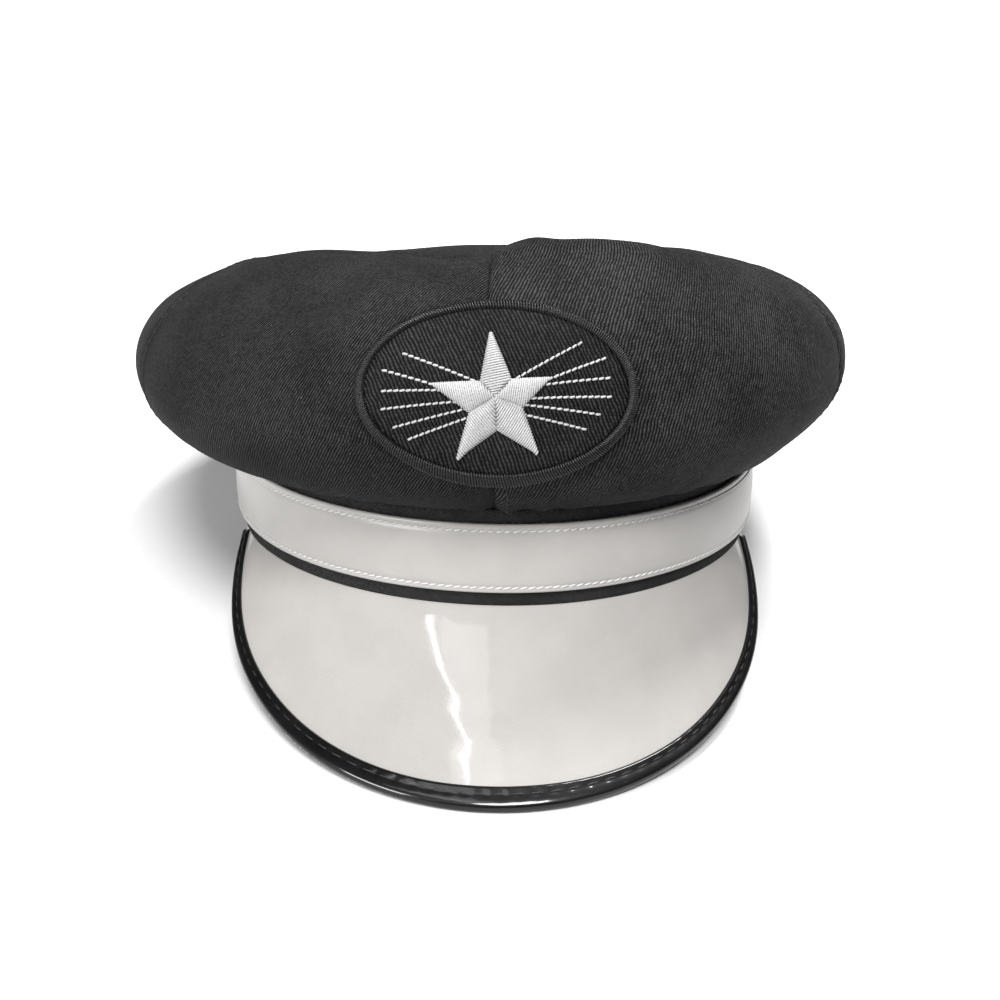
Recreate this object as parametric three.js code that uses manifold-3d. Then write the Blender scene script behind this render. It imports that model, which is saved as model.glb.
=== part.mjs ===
import * as THREE from "three";
import Module from "manifold-3d";

// A soft peaked cap. Sizes are in millimetres. The cap is drawn level, with its front
// along -Y and the bottom edge of its strap at height 0, and is tipped back to rest at the end.

// Head opening, an oval that the band, the strap and the root of the visor share
const BAND_HALF_WIDTH = 90.1;
const LENGTH_OVER_WIDTH = 1.1;
const BAND_WALL = 2.0;
const BAND_BELOW_STRAP = 4.9;
const SEAT_GAP = 0.3;
const HEM_EASE = 0.4;

// Strap round the band
const STRAP_HEIGHT = 21.5;
const STRAP_WALL = 1.5;
const STRAP_BULGE = 0.8;
const STRAP_EDGE = 0.4;

// Crown
const HEM_HEIGHT = 26.0;
const CROWN_HALF_WIDTH = 122.0;
const CROWN_HEIGHT = 95.6;
const ROOF_FALL_PER_MM = 0.146;
const TOP_SINK = 6.0;
const CLOTH_WALL = 1.5;
const SIDE_SEAM_AZIMUTH = 65.5;
const SIDE_SEAM_LEAN = 9.0;
const SEAM_DIP = 0.7;
const SEAM_HALF_WIDTH = 2.6;
const RIM_LEVEL_SHARE = 0.62;

// Visor
const VISOR_HALF_ARC = 74.5;
const VISOR_SLOPE = 44.4;
const VISOR_FLARE = 0.35;
const VISOR_LENGTH = 63.0;
const VISOR_END_ARC = 0.955;
const VISOR_SPREAD = 77.4;
const VISOR_WALL = 1.6;
const VISOR_TUCK = 2.0;
const BINDING_WIDTH = 7.3;
const BINDING_WALL = 1.0;
const BINDING_ROUND = 1.2;
const BINDING_TAPER = 0.3;
const REST_FLAT = 0.7;

// Patch on the front
const PATCH_HALF_WIDTH = 37.9;
const PATCH_HALF_HEIGHT = 23.3;
const PATCH_FULLNESS = 0.016;
const PATCH_LEAN = 28.5;
const PATCH_CENTRE_SIDE = -1.7;
const PATCH_CENTRE_UP = 59.6;
const PATCH_WALL = 1.0;
const PATCH_GAP = 0.45;
const BORDER_WIDTH = 2.4;
const BORDER_HEIGHT = 1.6;
const BORDER_ROUND = 0.25;
const STAR_RADIUS = 17.8;
const STAR_EDGE = 0.6;
const STAR_RIDGE = 0.9;
const STAR_CENTRE_UP = -2.7;
const STAR_CENTRE_SIDE = -0.9;

// How the crown changes round the cap. Azimuth runs from the front towards +X.
// reach is a share of CROWN_HALF_WIDTH and widest a share of CROWN_HEIGHT.
// upper and lower say how full the arcs above and below the widest line are.
// rim is the place of the top seam, a share of the upper arc.
const crownSections = [
  { azimuth: 0, reach: 1.028, widest: 0.541, upper: 2.71, lower: 1.61, rim: 0.66 },
  { azimuth: 45, reach: 1.0, widest: 0.566, upper: 2.5, lower: 1.63, rim: 0.61 },
  { azimuth: 90, reach: 0.99, widest: 0.59, upper: 2.36, lower: 1.56, rim: 0.52 },
  { azimuth: 135, reach: 1.018, widest: 0.593, upper: 2.2, lower: 1.64, rim: 0.43 },
  { azimuth: 180, reach: 1.05, widest: 0.59, upper: 2.14, lower: 1.7, rim: 0.4 },
  { azimuth: 225, reach: 1.034, widest: 0.591, upper: 2.06, lower: 1.77, rim: 0.43 },
  { azimuth: 270, reach: 1.019, widest: 0.582, upper: 1.99, lower: 1.88, rim: 0.52 },
  { azimuth: 315, reach: 1.036, widest: 0.529, upper: 2.28, lower: 1.88, rim: 0.61 },
];

// Soft dents and folds of the cloth. level is 0 at the hem, 1 at the widest line and 2 at
// the middle of the top. rise is a share of CROWN_HEIGHT, and below 0 it is a dent.
const crownFolds = [
  { name: "left brow dent", azimuth: -33, level: 1.42, width: 13, span: 0.2, rise: -0.026 },
  { name: "sag left of the seam", azimuth: -13, level: 1.62, width: 10, span: 0.16, rise: -0.04 },
  { name: "ridge at the seam top", azimuth: -16, level: 1.38, width: 6, span: 0.12, rise: 0.012 },
  { name: "right brow ridge", azimuth: 23, level: 1.56, width: 14, span: 0.22, rise: 0.032 },
  { name: "right cheek dent", azimuth: 40, level: 1.3, width: 12, span: 0.16, rise: -0.014 },
  { name: "tuck by the right side", azimuth: 57, level: 0.5, width: 6, span: 0.16, rise: -0.008 },
  { name: "swell below the patch", azimuth: -14, level: 0.5, width: 12, span: 0.16, rise: 0.008 },
  { name: "left side swell", azimuth: -48, level: 0.75, width: 12, span: 0.2, rise: 0.008 },
  { name: "back left dent", azimuth: -140, level: 1.0, width: 22, span: 0.3, rise: -0.02 },
  { name: "back right dent", azimuth: 150, level: 0.9, width: 20, span: 0.3, rise: -0.018 },
  { name: "top left hollow", azimuth: -70, level: 1.72, width: 34, span: 0.14, rise: -0.022 },
  { name: "top back swell", azimuth: 170, level: 1.6, width: 40, span: 0.16, rise: 0.015 },
];

// Length of the visor along its rulings, a share of VISOR_LENGTH, by share of its half arc
const visorOutline = [
  { arc: 0, length: 1.0 },
  { arc: 0.2, length: 0.96 },
  { arc: 0.4, length: 0.841 },
  { arc: 0.6, length: 0.647 },
  { arc: 0.75, length: 0.451 },
  { arc: 0.88, length: 0.222 },
  { arc: 0.96, length: 0.043 },
  { arc: 1.0, length: -0.05 },
];

// Tips and inner corners of the star from its top: turn runs clockwise and radius is a
// share of STAR_RADIUS
const starCorners = [
  { turn: -0.013, radius: 0.922 },
  { turn: 0.124, radius: 0.318 },
  { turn: 0.198, radius: 0.838 },
  { turn: 0.307, radius: 0.42 },
  { turn: 0.388, radius: 1.0 },
  { turn: 0.487, radius: 0.446 },
  { turn: 0.592, radius: 1.0 },
  { turn: 0.663, radius: 0.434 },
  { turn: 0.779, radius: 0.947 },
  { turn: 0.868, radius: 0.287 },
];

const rad = (degrees) => (degrees * Math.PI) / 180;
const add = (a, b, k = 1) => [a[0] + b[0] * k, a[1] + b[1] * k, a[2] + b[2] * k];
const dot = (a, b) => a[0] * b[0] + a[1] * b[1] + a[2] * b[2];
const cross = (a, b) => [
  a[1] * b[2] - a[2] * b[1],
  a[2] * b[0] - a[0] * b[2],
  a[0] * b[1] - a[1] * b[0],
];
const unit = (a) => {
  const size = Math.hypot(...a);
  return a.map((value) => value / size);
};
const clamp = (value, low, high) => Math.min(Math.max(value, low), high);
const steps = (count) => Array.from({ length: count + 1 }, (_, i) => i / count);

// Smooth value of one column of a table whose rows run evenly round the cap
function roundTable(rows, column, azimuth) {
  const turns = ((((azimuth / (2 * Math.PI)) % 1) + 1) % 1) * rows.length;
  const row = Math.floor(turns);
  const f = turns - row;
  const [a, b, c, d] = [-1, 0, 1, 2].map((k) => rows[(row + k + rows.length) % rows.length][column]);
  return b + 0.5 * f * (c - a + f * (2 * a - 5 * b + 4 * c - d + f * (3 * (b - c) + d - a)));
}

// Smooth value of one column of a table along an open run
function runTable(rows, key, column, at) {
  let row = 0;
  while (row < rows.length - 2 && at > rows[row + 1][key]) row += 1;
  const slope = (k) => {
    const low = rows[Math.max(k - 1, 0)];
    const high = rows[Math.min(k + 1, rows.length - 1)];
    return k === 0 ? 0 : (high[column] - low[column]) / (high[key] - low[key]);
  };
  const span = rows[row + 1][key] - rows[row][key];
  const f = (at - rows[row][key]) / span;
  const from = rows[row][column];
  const to = rows[row + 1][column];
  const rise = to - from;
  const a = slope(row) * span;
  const b = slope(row + 1) * span;
  return from + f * a + f * f * (3 * rise - 2 * a - b) + f * f * f * (a + b - 2 * rise);
}

// Distance from the middle of the cap to the oval of the given half width
function ovalRadius(azimuth, halfWidth) {
  const length = halfWidth * LENGTH_OVER_WIDTH;
  return 1 / Math.hypot(Math.sin(azimuth) / halfWidth, Math.cos(azimuth) / length);
}
const around = (azimuth, radius, height) => [
  radius * Math.sin(azimuth),
  -radius * Math.cos(azimuth),
  height,
];

// Smooth outer face of the crown, before folds and seams
function crownBody(azimuth, level) {
  const hem = ovalRadius(azimuth, BAND_HALF_WIDTH + HEM_EASE);
  const reach = CROWN_HALF_WIDTH * roundTable(crownSections, "reach", azimuth);
  const widest = CROWN_HEIGHT * roundTable(crownSections, "widest", azimuth);
  if (level <= 1) {
    const power = 2 / roundTable(crownSections, "lower", azimuth);
    const turn = (clamp(level, 0, 1) * Math.PI) / 2;
    const out = Math.sin(turn) ** power;
    const down = Math.max(Math.cos(turn), 0) ** power;
    return around(azimuth, hem + (reach - hem) * out, widest - (widest - HEM_HEIGHT) * down);
  }
  const power = 2 / roundTable(crownSections, "upper", azimuth);
  const turn = (clamp(level - 1, 0, 1) * Math.PI) / 2;
  const radius = reach * Math.max(Math.cos(turn), 0) ** power;
  const roof = CROWN_HEIGHT + ROOF_FALL_PER_MM * radius * Math.cos(azimuth);
  const rim = roundTable(crownSections, "rim", azimuth);
  const inside = clamp((level - 1 - rim) / (1 - rim), 0, 1);
  const sink = TOP_SINK * Math.sin((Math.min(inside * 1.6, 1) * Math.PI) / 2);
  return around(azimuth, radius, widest + (roof - widest) * Math.sin(turn) ** power - sink);
}

function crownNormal(azimuth, level) {
  const e = 0.03;
  const l = clamp(level, e, 1.97);
  const along = add(crownBody(azimuth + e, l), crownBody(azimuth - e, l), -1);
  const up = add(crownBody(azimuth, l + e), crownBody(azimuth, l - e), -1);
  return unit(cross(along, up));
}

// The side seam leans back as it nears the top panel
function sideSeam(level) {
  const lean = clamp((level - 1.2) / 0.3, 0, 1) ** 2;
  return rad(SIDE_SEAM_AZIMUTH + SIDE_SEAM_LEAN * lean);
}
const topSeam = (azimuth) => 1 + roundTable(crownSections, "rim", azimuth);
const turnBetween = (a, b) => Math.atan2(Math.sin(a - b), Math.cos(a - b));

// How far the cloth stands off the smooth body, from folds and from the seams
function crownRelief(azimuth, level) {
  let rise = 0;
  for (const fold of crownFolds) {
    const side = turnBetween(azimuth, rad(fold.azimuth)) / rad(fold.width);
    const up = (level - fold.level) / fold.span;
    rise += CROWN_HEIGHT * fold.rise * Math.exp(-side * side - up * up);
  }
  const radius = Math.hypot(...crownBody(azimuth, level).slice(0, 2));
  const rim = topSeam(azimuth);
  const below = clamp((rim - level) * 20 + 0.5, 0, 1);
  for (const seam of [0, sideSeam(level), -sideSeam(level), Math.PI]) {
    const away = (turnBetween(azimuth, seam) * radius) / SEAM_HALF_WIDTH;
    rise -= SEAM_DIP * below * Math.exp(-away * away);
  }
  const levelSize = CROWN_HALF_WIDTH * RIM_LEVEL_SHARE;
  const away = ((rim - level) * levelSize) / SEAM_HALF_WIDTH;
  return rise - SEAM_DIP * Math.exp(-away * away);
}

const crownPoint = (azimuth, level, lift = 0) =>
  add(
    crownBody(azimuth, level),
    crownNormal(azimuth, level),
    lift + crownRelief(azimuth, level) * clamp(level / 0.15, 0, 1),
  );

// Closed solid from a grid of outer points and a matching grid of inner points
function wall(outer, inner, closed = false) {
  const rows = outer.length;
  const columns = outer[0].length;
  const points = [...outer.flat(), ...inner.flat()];
  const faces = [];
  const at = (side, i, j) => side * rows * columns + (i % rows) * columns + j;
  const quad = (a, b, c, d) => faces.push([a, b, c], [a, c, d]);
  const last = closed ? rows : rows - 1;
  for (let i = 0; i < last; i += 1) {
    for (let j = 0; j < columns - 1; j += 1) {
      quad(at(0, i, j), at(0, i + 1, j), at(0, i + 1, j + 1), at(0, i, j + 1));
      quad(at(1, i, j), at(1, i, j + 1), at(1, i + 1, j + 1), at(1, i + 1, j));
    }
    quad(at(0, i, 0), at(1, i, 0), at(1, i + 1, 0), at(0, i + 1, 0));
    const j = columns - 1;
    quad(at(0, i, j), at(0, i + 1, j), at(1, i + 1, j), at(1, i, j));
  }
  if (!closed) {
    for (let j = 0; j < columns - 1; j += 1) {
      const i = rows - 1;
      quad(at(0, 0, j), at(0, 0, j + 1), at(1, 0, j + 1), at(1, 0, j));
      quad(at(0, i, j), at(1, i, j), at(1, i, j + 1), at(0, i, j + 1));
    }
  }
  return { points, faces };
}

// Closed solid from a run of sections with equal counts of points
function sweep(sections, closed) {
  const count = sections[0].length;
  const points = sections.flat();
  const faces = [];
  const last = closed ? sections.length : sections.length - 1;
  for (let i = 0; i < last; i += 1) {
    const next = (i + 1) % sections.length;
    for (let j = 0; j < count; j += 1) {
      const k = (j + 1) % count;
      faces.push([i * count + j, next * count + j, next * count + k]);
      faces.push([i * count + j, next * count + k, i * count + k]);
    }
  }
  return { points, faces };
}

// Fans that close the two ends of an open sweep, each from one corner of its section
function capEnds(solid, count, cuts) {
  const total = solid.points.length;
  for (const [a, b, c] of cuts) {
    solid.faces.push([a, b, c]);
    solid.faces.push([total - count + c, total - count + b, total - count + a]);
  }
  return solid;
}

// Turns a solid inside out when its faces point inwards
function outward(solid) {
  let volume = 0;
  for (const [a, b, c] of solid.faces) {
    volume += dot(solid.points[a], cross(solid.points[b], solid.points[c]));
  }
  if (volume < 0) solid.faces.forEach((face) => face.reverse());
  return solid;
}

function crownPanel(from, to) {
  const across = [0, 0.025, 0.08, ...steps(12).slice(2, -2), 0.92, 0.975, 1];
  const up = [0, 0.04, 0.12, 0.22, 0.34, 0.46, 0.56, 0.66, 0.76, 0.86, 0.94, 0.98, 1];
  const half = SEAT_GAP / 2 / CROWN_HALF_WIDTH;
  const place = (s, share, lift) => {
    let level = share * 1.5;
    let azimuth = 0;
    for (let k = 0; k < 5; k += 1) {
      const low = from(level) + half * (1 + clamp(level - 1, 0, 1));
      const high = to(level) - half * (1 + clamp(level - 1, 0, 1));
      azimuth = low + (high - low) * s;
      level = share * (topSeam(azimuth) - half * 1.5);
    }
    return crownPoint(azimuth, level, lift);
  };
  const grid = (lift) => across.map((s) => up.map((share) => place(s, share, lift)));
  return wall(grid(0), grid(-CLOTH_WALL));
}

function crownTop() {
  const azimuths = steps(60).slice(0, -1).map((s) => s * 2 * Math.PI);
  const shares = [0, 0.03, 0.09, 0.22, 0.42, 0.64, 0.84];
  const place = (azimuth, share, lift) => {
    const power = roundTable(crownSections, "upper", azimuth) / 2;
    const start = topSeam(azimuth) + (SEAT_GAP * 1.5) / 2 / CROWN_HALF_WIDTH;
    const edge = Math.cos(((start - 1) * Math.PI) / 2);
    const level = 1 + Math.acos(edge * (1 - share) ** power) / (Math.PI / 2);
    return crownPoint(azimuth, level, lift);
  };
  const grid = (lift) => azimuths.map((azimuth) => shares.map((share) => place(azimuth, share, lift)));
  const solid = wall(grid(0), grid(-CLOTH_WALL), true);
  return solid;
}

// The open middle of the top panel is closed with one fan on each side
function closeMiddle(solid, columns) {
  const half = solid.points.length / 2;
  const rows = half / columns;
  const lastColumn = columns - 1;
  const rings = [0, 1].map((side) =>
    Array.from({ length: rows }, (_, row) => side * half + row * columns + lastColumn),
  );
  solid.faces = solid.faces.filter((face) => !isMiddleWall(face, columns, half));
  rings.forEach((ids, side) => {
    const middle = ids.reduce((sum, id) => add(sum, solid.points[id], 1 / rows), [0, 0, 0]);
    solid.points.push(middle);
    const centre = solid.points.length - 1;
    ids.forEach((id, i) => {
      const next = ids[(i + 1) % ids.length];
      solid.faces.push(side === 0 ? [id, next, centre] : [next, id, centre]);
    });
  });
  return solid;
}
const isMiddleWall = (face, columns, half) => {
  const sides = face.map((id) => (id < half ? 0 : 1));
  const inner = face.every((id) => (id % half) % columns === columns - 1);
  return inner && sides.some((side) => side !== sides[0]);
};

// Ring round the head from a profile of rows, each with an outward offset and a height
function ring(halfWidth, profile) {
  const azimuths = steps(72).slice(0, -1).map((s) => s * 2 * Math.PI);
  const section = (azimuth) =>
    profile.map(({ out, height }) => around(azimuth, ovalRadius(azimuth, halfWidth) + out, height));
  return sweep(azimuths.map(section), true);
}

function headBand() {
  const top = HEM_HEIGHT - SEAT_GAP;
  return ring(BAND_HALF_WIDTH, [
    { out: 0, height: -BAND_BELOW_STRAP },
    { out: 0, height: top },
    { out: -BAND_WALL, height: top },
    { out: -BAND_WALL, height: -BAND_BELOW_STRAP },
  ]);
}

function strap() {
  return ring(BAND_HALF_WIDTH + SEAT_GAP, [
    { out: 0, height: 0 },
    { out: STRAP_WALL - STRAP_EDGE, height: 0 },
    { out: STRAP_WALL, height: STRAP_HEIGHT * 0.06 },
    { out: STRAP_WALL + STRAP_BULGE, height: STRAP_HEIGHT * 0.4 },
    { out: STRAP_WALL, height: STRAP_HEIGHT * 0.94 },
    { out: STRAP_WALL - STRAP_EDGE, height: STRAP_HEIGHT },
    { out: 0, height: STRAP_HEIGHT },
  ]);
}

// Middle face of the visor, which starts under the wall of the band: arc runs from -1 to 1
// along its root and down is the distance from the root
function visorPoint(arc, down) {
  const azimuth = arc * rad(VISOR_HALF_ARC);
  const middle = BAND_HALF_WIDTH - BAND_WALL / 2;
  const root = around(azimuth, ovalRadius(azimuth, middle), -BAND_BELOW_STRAP);
  const slope = rad(VISOR_SLOPE);
  const ruling = [VISOR_FLARE * Math.sin(azimuth), -Math.cos(slope), -Math.sin(slope)];
  return add(root, ruling, down);
}
function visorFrame(arc, down) {
  const e = 0.001;
  const along = add(visorPoint(arc + e, down), visorPoint(arc - e, down), -1).map((v) => v / (2 * e));
  const out = add(visorPoint(arc, down + e), visorPoint(arc, down - e), -1).map((v) => v / (2 * e));
  return { along, out, normal: unit(cross(along, out)).map((v) => -v) };
}
const visorReach = (arc) => VISOR_LENGTH * runTable(visorOutline, "arc", "length", Math.abs(arc));

// Walks from the rim inwards over the visor, square to the rim
function fromRim(arc, distance) {
  const e = 0.002;
  const edge = (a) => visorPoint(a, visorReach(a));
  const rim = unit(add(edge(arc + e), edge(arc - e), -1));
  let [a, d] = [arc, visorReach(arc)];
  const walk = distance / 6;
  for (let k = 0; k < 6; k += 1) {
    const { along, out, normal } = visorFrame(a, d);
    const inward = unit(cross(normal, rim));
    const step = inward.map((v) => v * walk);
    const [aa, ao, oo] = [dot(along, along), dot(along, out), dot(out, out)];
    const [sa, so] = [dot(step, along), dot(step, out)];
    const size = aa * oo - ao * ao;
    a += (sa * oo - so * ao) / size;
    d += (so * aa - sa * ao) / size;
  }
  return { point: visorPoint(a, d), normal: visorFrame(a, d).normal };
}

// Sections along the visor, closer together towards its two ends
const visorArcs = steps(46).map((s) => {
  const swing = rad(VISOR_SPREAD);
  return (VISOR_END_ARC * Math.sin((2 * s - 1) * swing)) / Math.sin(swing);
});

function visor() {
  const downs = [0, 0.25, 0.5, 0.75];
  const half = VISOR_WALL / 2;
  const grid = (lift) =>
    visorArcs.map((arc) => {
      const edge = fromRim(arc, BINDING_WALL + SEAT_GAP);
      const rows = downs.map((share) => {
        const root = visorPoint(arc, -VISOR_TUCK);
        const point = add(root, add(edge.point, root, -1), share);
        return nearVisor(point, arc);
      });
      return [...rows, edge].map(({ point, normal }) => add(point, normal, lift));
    });
  return wall(grid(half), grid(-half));
}

// Nearest place on the middle face of the visor
function nearVisor(target, arc) {
  let [a, d] = [arc, 0];
  for (let k = 0; k < 12; k += 1) {
    const { along, out } = visorFrame(a, d);
    const miss = add(target, visorPoint(a, d), -1);
    const [aa, ao, oo] = [dot(along, along), dot(along, out), dot(out, out)];
    const [sa, so] = [dot(miss, along), dot(miss, out)];
    const size = aa * oo - ao * ao;
    a += (sa * oo - so * ao) / size;
    d += (so * aa - sa * ao) / size;
  }
  return { point: visorPoint(a, d), normal: visorFrame(a, d).normal };
}

function visorBinding() {
  const slot = VISOR_WALL / 2 + SEAT_GAP;
  const face = slot + BINDING_WALL;
  const profile = [
    { inward: BINDING_WIDTH, rise: slot },
    { inward: BINDING_WIDTH, rise: face },
    { inward: BINDING_ROUND, rise: face },
    { inward: BINDING_TAPER, rise: face * 0.62 },
    { inward: 0, rise: 0 },
    { inward: BINDING_TAPER, rise: -face * 0.62 },
    { inward: BINDING_ROUND, rise: -face },
    { inward: BINDING_WIDTH, rise: -face },
    { inward: BINDING_WIDTH, rise: -slot },
    { inward: BINDING_WALL, rise: -slot },
    { inward: BINDING_WALL, rise: slot },
  ];
  const section = (arc) =>
    profile.map(({ inward, rise }) => {
      const { point, normal } = fromRim(arc, inward);
      return add(point, normal, rise);
    });
  const solid = sweep(visorArcs.map(section), false);
  return capEnds(solid, profile.length, [
    [0, 1, 2],
    [0, 2, 10],
    [10, 2, 3],
    [10, 3, 4],
    [10, 4, 9],
    [9, 4, 5],
    [9, 5, 6],
    [9, 6, 8],
    [8, 6, 7],
  ]);
}

// Place on the front of the crown under a point of the patch's own flat drawing
const patchUp = [0, Math.sin(rad(PATCH_LEAN)), Math.cos(rad(PATCH_LEAN))];
function patchPoint(side, up, lift) {
  const wanted = [PATCH_CENTRE_SIDE + side, PATCH_CENTRE_UP + up];
  const height = (p) => (p[1] + CROWN_HALF_WIDTH) * patchUp[1] + p[2] * patchUp[2];
  let [azimuth, level] = [wanted[0] / CROWN_HALF_WIDTH, 1];
  for (let k = 0; k < 14; k += 1) {
    const e = 0.002;
    const p = crownBody(azimuth, level);
    const pa = crownBody(azimuth + e, level);
    const pl = crownBody(azimuth, level + (level < 1 ? -e : e));
    const sign = level < 1 ? -1 : 1;
    const j = [(pa[0] - p[0]) / e, ((pl[0] - p[0]) / e) * sign];
    const m = [(height(pa) - height(p)) / e, ((height(pl) - height(p)) / e) * sign];
    const miss = [wanted[0] - p[0], wanted[1] - height(p)];
    const size = j[0] * m[1] - j[1] * m[0];
    azimuth += ((miss[0] * m[1] - miss[1] * j[1]) / size) * 0.9;
    level = clamp(level + ((miss[1] * j[0] - miss[0] * m[0]) / size) * 0.9, 0.2, 1.8);
  }
  return add(patchBase(azimuth, level), crownNormal(azimuth, level), lift);
}

// Under the patch the cloth keeps its folds but not the dip of its seam
function patchBase(azimuth, level) {
  const radius = Math.hypot(...crownBody(azimuth, level).slice(0, 2));
  const away = (turnBetween(azimuth, 0) * radius) / SEAM_HALF_WIDTH;
  const filled = SEAM_DIP * Math.exp(-away * away);
  return crownPoint(azimuth, level, filled);
}

// Outline of the patch, a little fuller low on its left side
const oval = (turn, inset) => {
  const angle = turn * 2 * Math.PI;
  const full = 1 + PATCH_FULLNESS * Math.cos(angle - rad(235));
  return [
    (PATCH_HALF_WIDTH * full - inset) * Math.sin(angle),
    (PATCH_HALF_HEIGHT * full - inset) * Math.cos(angle),
  ];
};

function patchGround() {
  const turns = steps(40).slice(0, -1);
  const shares = [1, 0.8, 0.6, 0.4, 0.2];
  const inset = BORDER_WIDTH + SEAT_GAP;
  const place = (turn, share, lift) => {
    const [across, up] = oval(turn, inset);
    return patchPoint(across * share, up * share, lift);
  };
  const grid = (lift) => turns.map((turn) => shares.map((share) => place(turn, share, lift)));
  const solid = wall(grid(PATCH_GAP + PATCH_WALL), grid(PATCH_GAP), true);
  return closeMiddle(solid, shares.length);
}

function patchBorder() {
  const turns = steps(56).slice(0, -1);
  const profile = [
    { inset: 0, rise: PATCH_GAP },
    { inset: BORDER_ROUND, rise: PATCH_GAP + BORDER_HEIGHT * 0.7 },
    { inset: BORDER_WIDTH / 2, rise: PATCH_GAP + BORDER_HEIGHT },
    { inset: BORDER_WIDTH - BORDER_ROUND, rise: PATCH_GAP + BORDER_HEIGHT * 0.7 },
    { inset: BORDER_WIDTH, rise: PATCH_GAP },
  ];
  const section = (turn) => profile.map(({ inset, rise }) => patchPoint(...oval(turn, inset), rise));
  return sweep(turns.map(section), true);
}

// Star with a low ridge along every arm, following the crown below it
function star() {
  const base = PATCH_GAP + PATCH_WALL + PATCH_GAP;
  const corner = ({ turn, radius }) => {
    const angle = turn * 2 * Math.PI;
    return [Math.sin(angle) * radius * STAR_RADIUS, Math.cos(angle) * radius * STAR_RADIUS];
  };
  const corners = starCorners.map(corner);
  const cuts = 4;
  const edge = [];
  corners.forEach((from, i) => {
    const to = corners[(i + 1) % corners.length];
    for (let k = 0; k < cuts; k += 1) {
      edge.push([0, 1].map((n) => from[n] + ((to[n] - from[n]) * k) / cuts));
    }
  });
  const rings = [
    { share: 1, swell: 0 },
    { share: 0.72, swell: 0.6 },
    { share: 0.4, swell: 1 },
  ];
  const place = ([x, y], share, lift) =>
    patchPoint(STAR_CENTRE_SIDE + x * share, STAR_CENTRE_UP + y * share, lift);
  const top = base + STAR_EDGE;
  const upper = ({ share, swell }, point) => place(point, share, top + STAR_RIDGE * swell);
  const outer = edge.map((point) => rings.map((row) => upper(row, point)));
  const inner = edge.map((point) => rings.map(({ share }) => place(point, share, base)));
  return closeMiddle(wall(outer, inner, true), rings.length);
}

const wasm = await Module();
wasm.setup();

function toManifold({ points, faces }) {
  const mesh = new wasm.Mesh({
    numProp: 3,
    vertProperties: new Float32Array(points.flat()),
    triVerts: new Uint32Array(faces.flat()),
  });
  return new wasm.Manifold(mesh);
}
function fromManifold(manifold) {
  const mesh = manifold.getMesh();
  const points = [];
  for (let i = 0; i < mesh.vertProperties.length; i += mesh.numProp) {
    points.push([...mesh.vertProperties.slice(i, i + 3)]);
  }
  const faces = [];
  for (let i = 0; i < mesh.triVerts.length; i += 3) faces.push([...mesh.triVerts.slice(i, i + 3)]);
  return { points, faces };
}

// Trims what would stand above the lower edge of the band
function underBand(solid) {
  const [width, height] = [400, 60];
  const bottom = -BAND_BELOW_STRAP - SEAT_GAP;
  const block = new THREE.BoxGeometry(width, width, height).toNonIndexed();
  const corners = [];
  const faces = [];
  const place = block.getAttribute("position");
  const seen = new Map();
  for (let i = 0; i < place.count; i += 1) {
    const point = [place.getX(i), place.getY(i), place.getZ(i) + bottom + height / 2];
    const key = point.map((v) => v.toFixed(3)).join();
    if (!seen.has(key)) seen.set(key, corners.push(point) - 1);
    if (i % 3 === 0) faces.push([]);
    faces[faces.length - 1].push(seen.get(key));
  }
  const cut = toManifold(outward(solid)).subtract(toManifold({ points: corners, faces }));
  return fromManifold(cut);
}

const twill = { color: 0x2b2b2d, roughness: 0.9, metalness: 0 };
const bandTwill = { color: 0x1d1d20, roughness: 0.9, metalness: 0 };
const vinyl = { color: 0xd9d6d2, roughness: 0.25, metalness: 0 };
const blackVinyl = { color: 0x121214, roughness: 0.22, metalness: 0 };
const groundTwill = { color: 0x1b1b1c, roughness: 0.92, metalness: 0 };
const borderThread = { color: 0x17171a, roughness: 0.7, metalness: 0 };
const whiteThread = { color: 0xe6e6e3, roughness: 0.55, metalness: 0 };

const side = (sign) => (level) => sign * sideSeam(level);
const pieces = [
  ["crown_top", closeMiddle(crownTop(), 7), twill],
  ["crown_front_left", crownPanel(side(-1), () => 0), twill],
  ["crown_front_right", crownPanel(() => 0, side(1)), twill],
  ["crown_back_left", crownPanel(() => -Math.PI, side(-1)), twill],
  ["crown_back_right", crownPanel(side(1), () => Math.PI), twill],
  ["head_band", headBand(), bandTwill],
  ["strap", strap(), vinyl],
  ["visor", underBand(visor()), vinyl],
  ["visor_binding", underBand(visorBinding()), blackVinyl],
  ["patch_ground", patchGround(), groundTwill],
  ["patch_border", patchBorder(), borderThread],
  ["star", star(), whiteThread],
];

// The cap rests on the front of its visor's rim and on the back of its band
const rimHalf = VISOR_WALL / 2 + SEAT_GAP + BINDING_WALL;
const rimFront = visorPoint(0, VISOR_LENGTH - BINDING_ROUND);
const rimLow = add(rimFront, visorFrame(0, VISOR_LENGTH).normal, -rimHalf);
const backLow = [0, BAND_HALF_WIDTH * LENGTH_OVER_WIDTH, -BAND_BELOW_STRAP];
const tip = Math.atan2(backLow[2] - rimLow[2], backLow[1] - rimLow[1]);
const tipped = ([x, y, z]) => [
  x,
  y * Math.cos(tip) + z * Math.sin(tip),
  -y * Math.sin(tip) + z * Math.cos(tip),
];
const floor = tipped(backLow)[2] + REST_FLAT;
const placed = pieces.map(([name, solid, look]) => {
  const points = solid.points.map(tipped).map(([x, y, z]) => [x, y, Math.max(z - floor, 0)]);
  return [name, outward({ points, faces: solid.faces }), look];
});
const every = new THREE.Box3();
for (const [, solid] of placed) {
  for (const point of solid.points) every.expandByPoint(new THREE.Vector3(...point));
}
const middle = every.getCenter(new THREE.Vector3());

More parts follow.
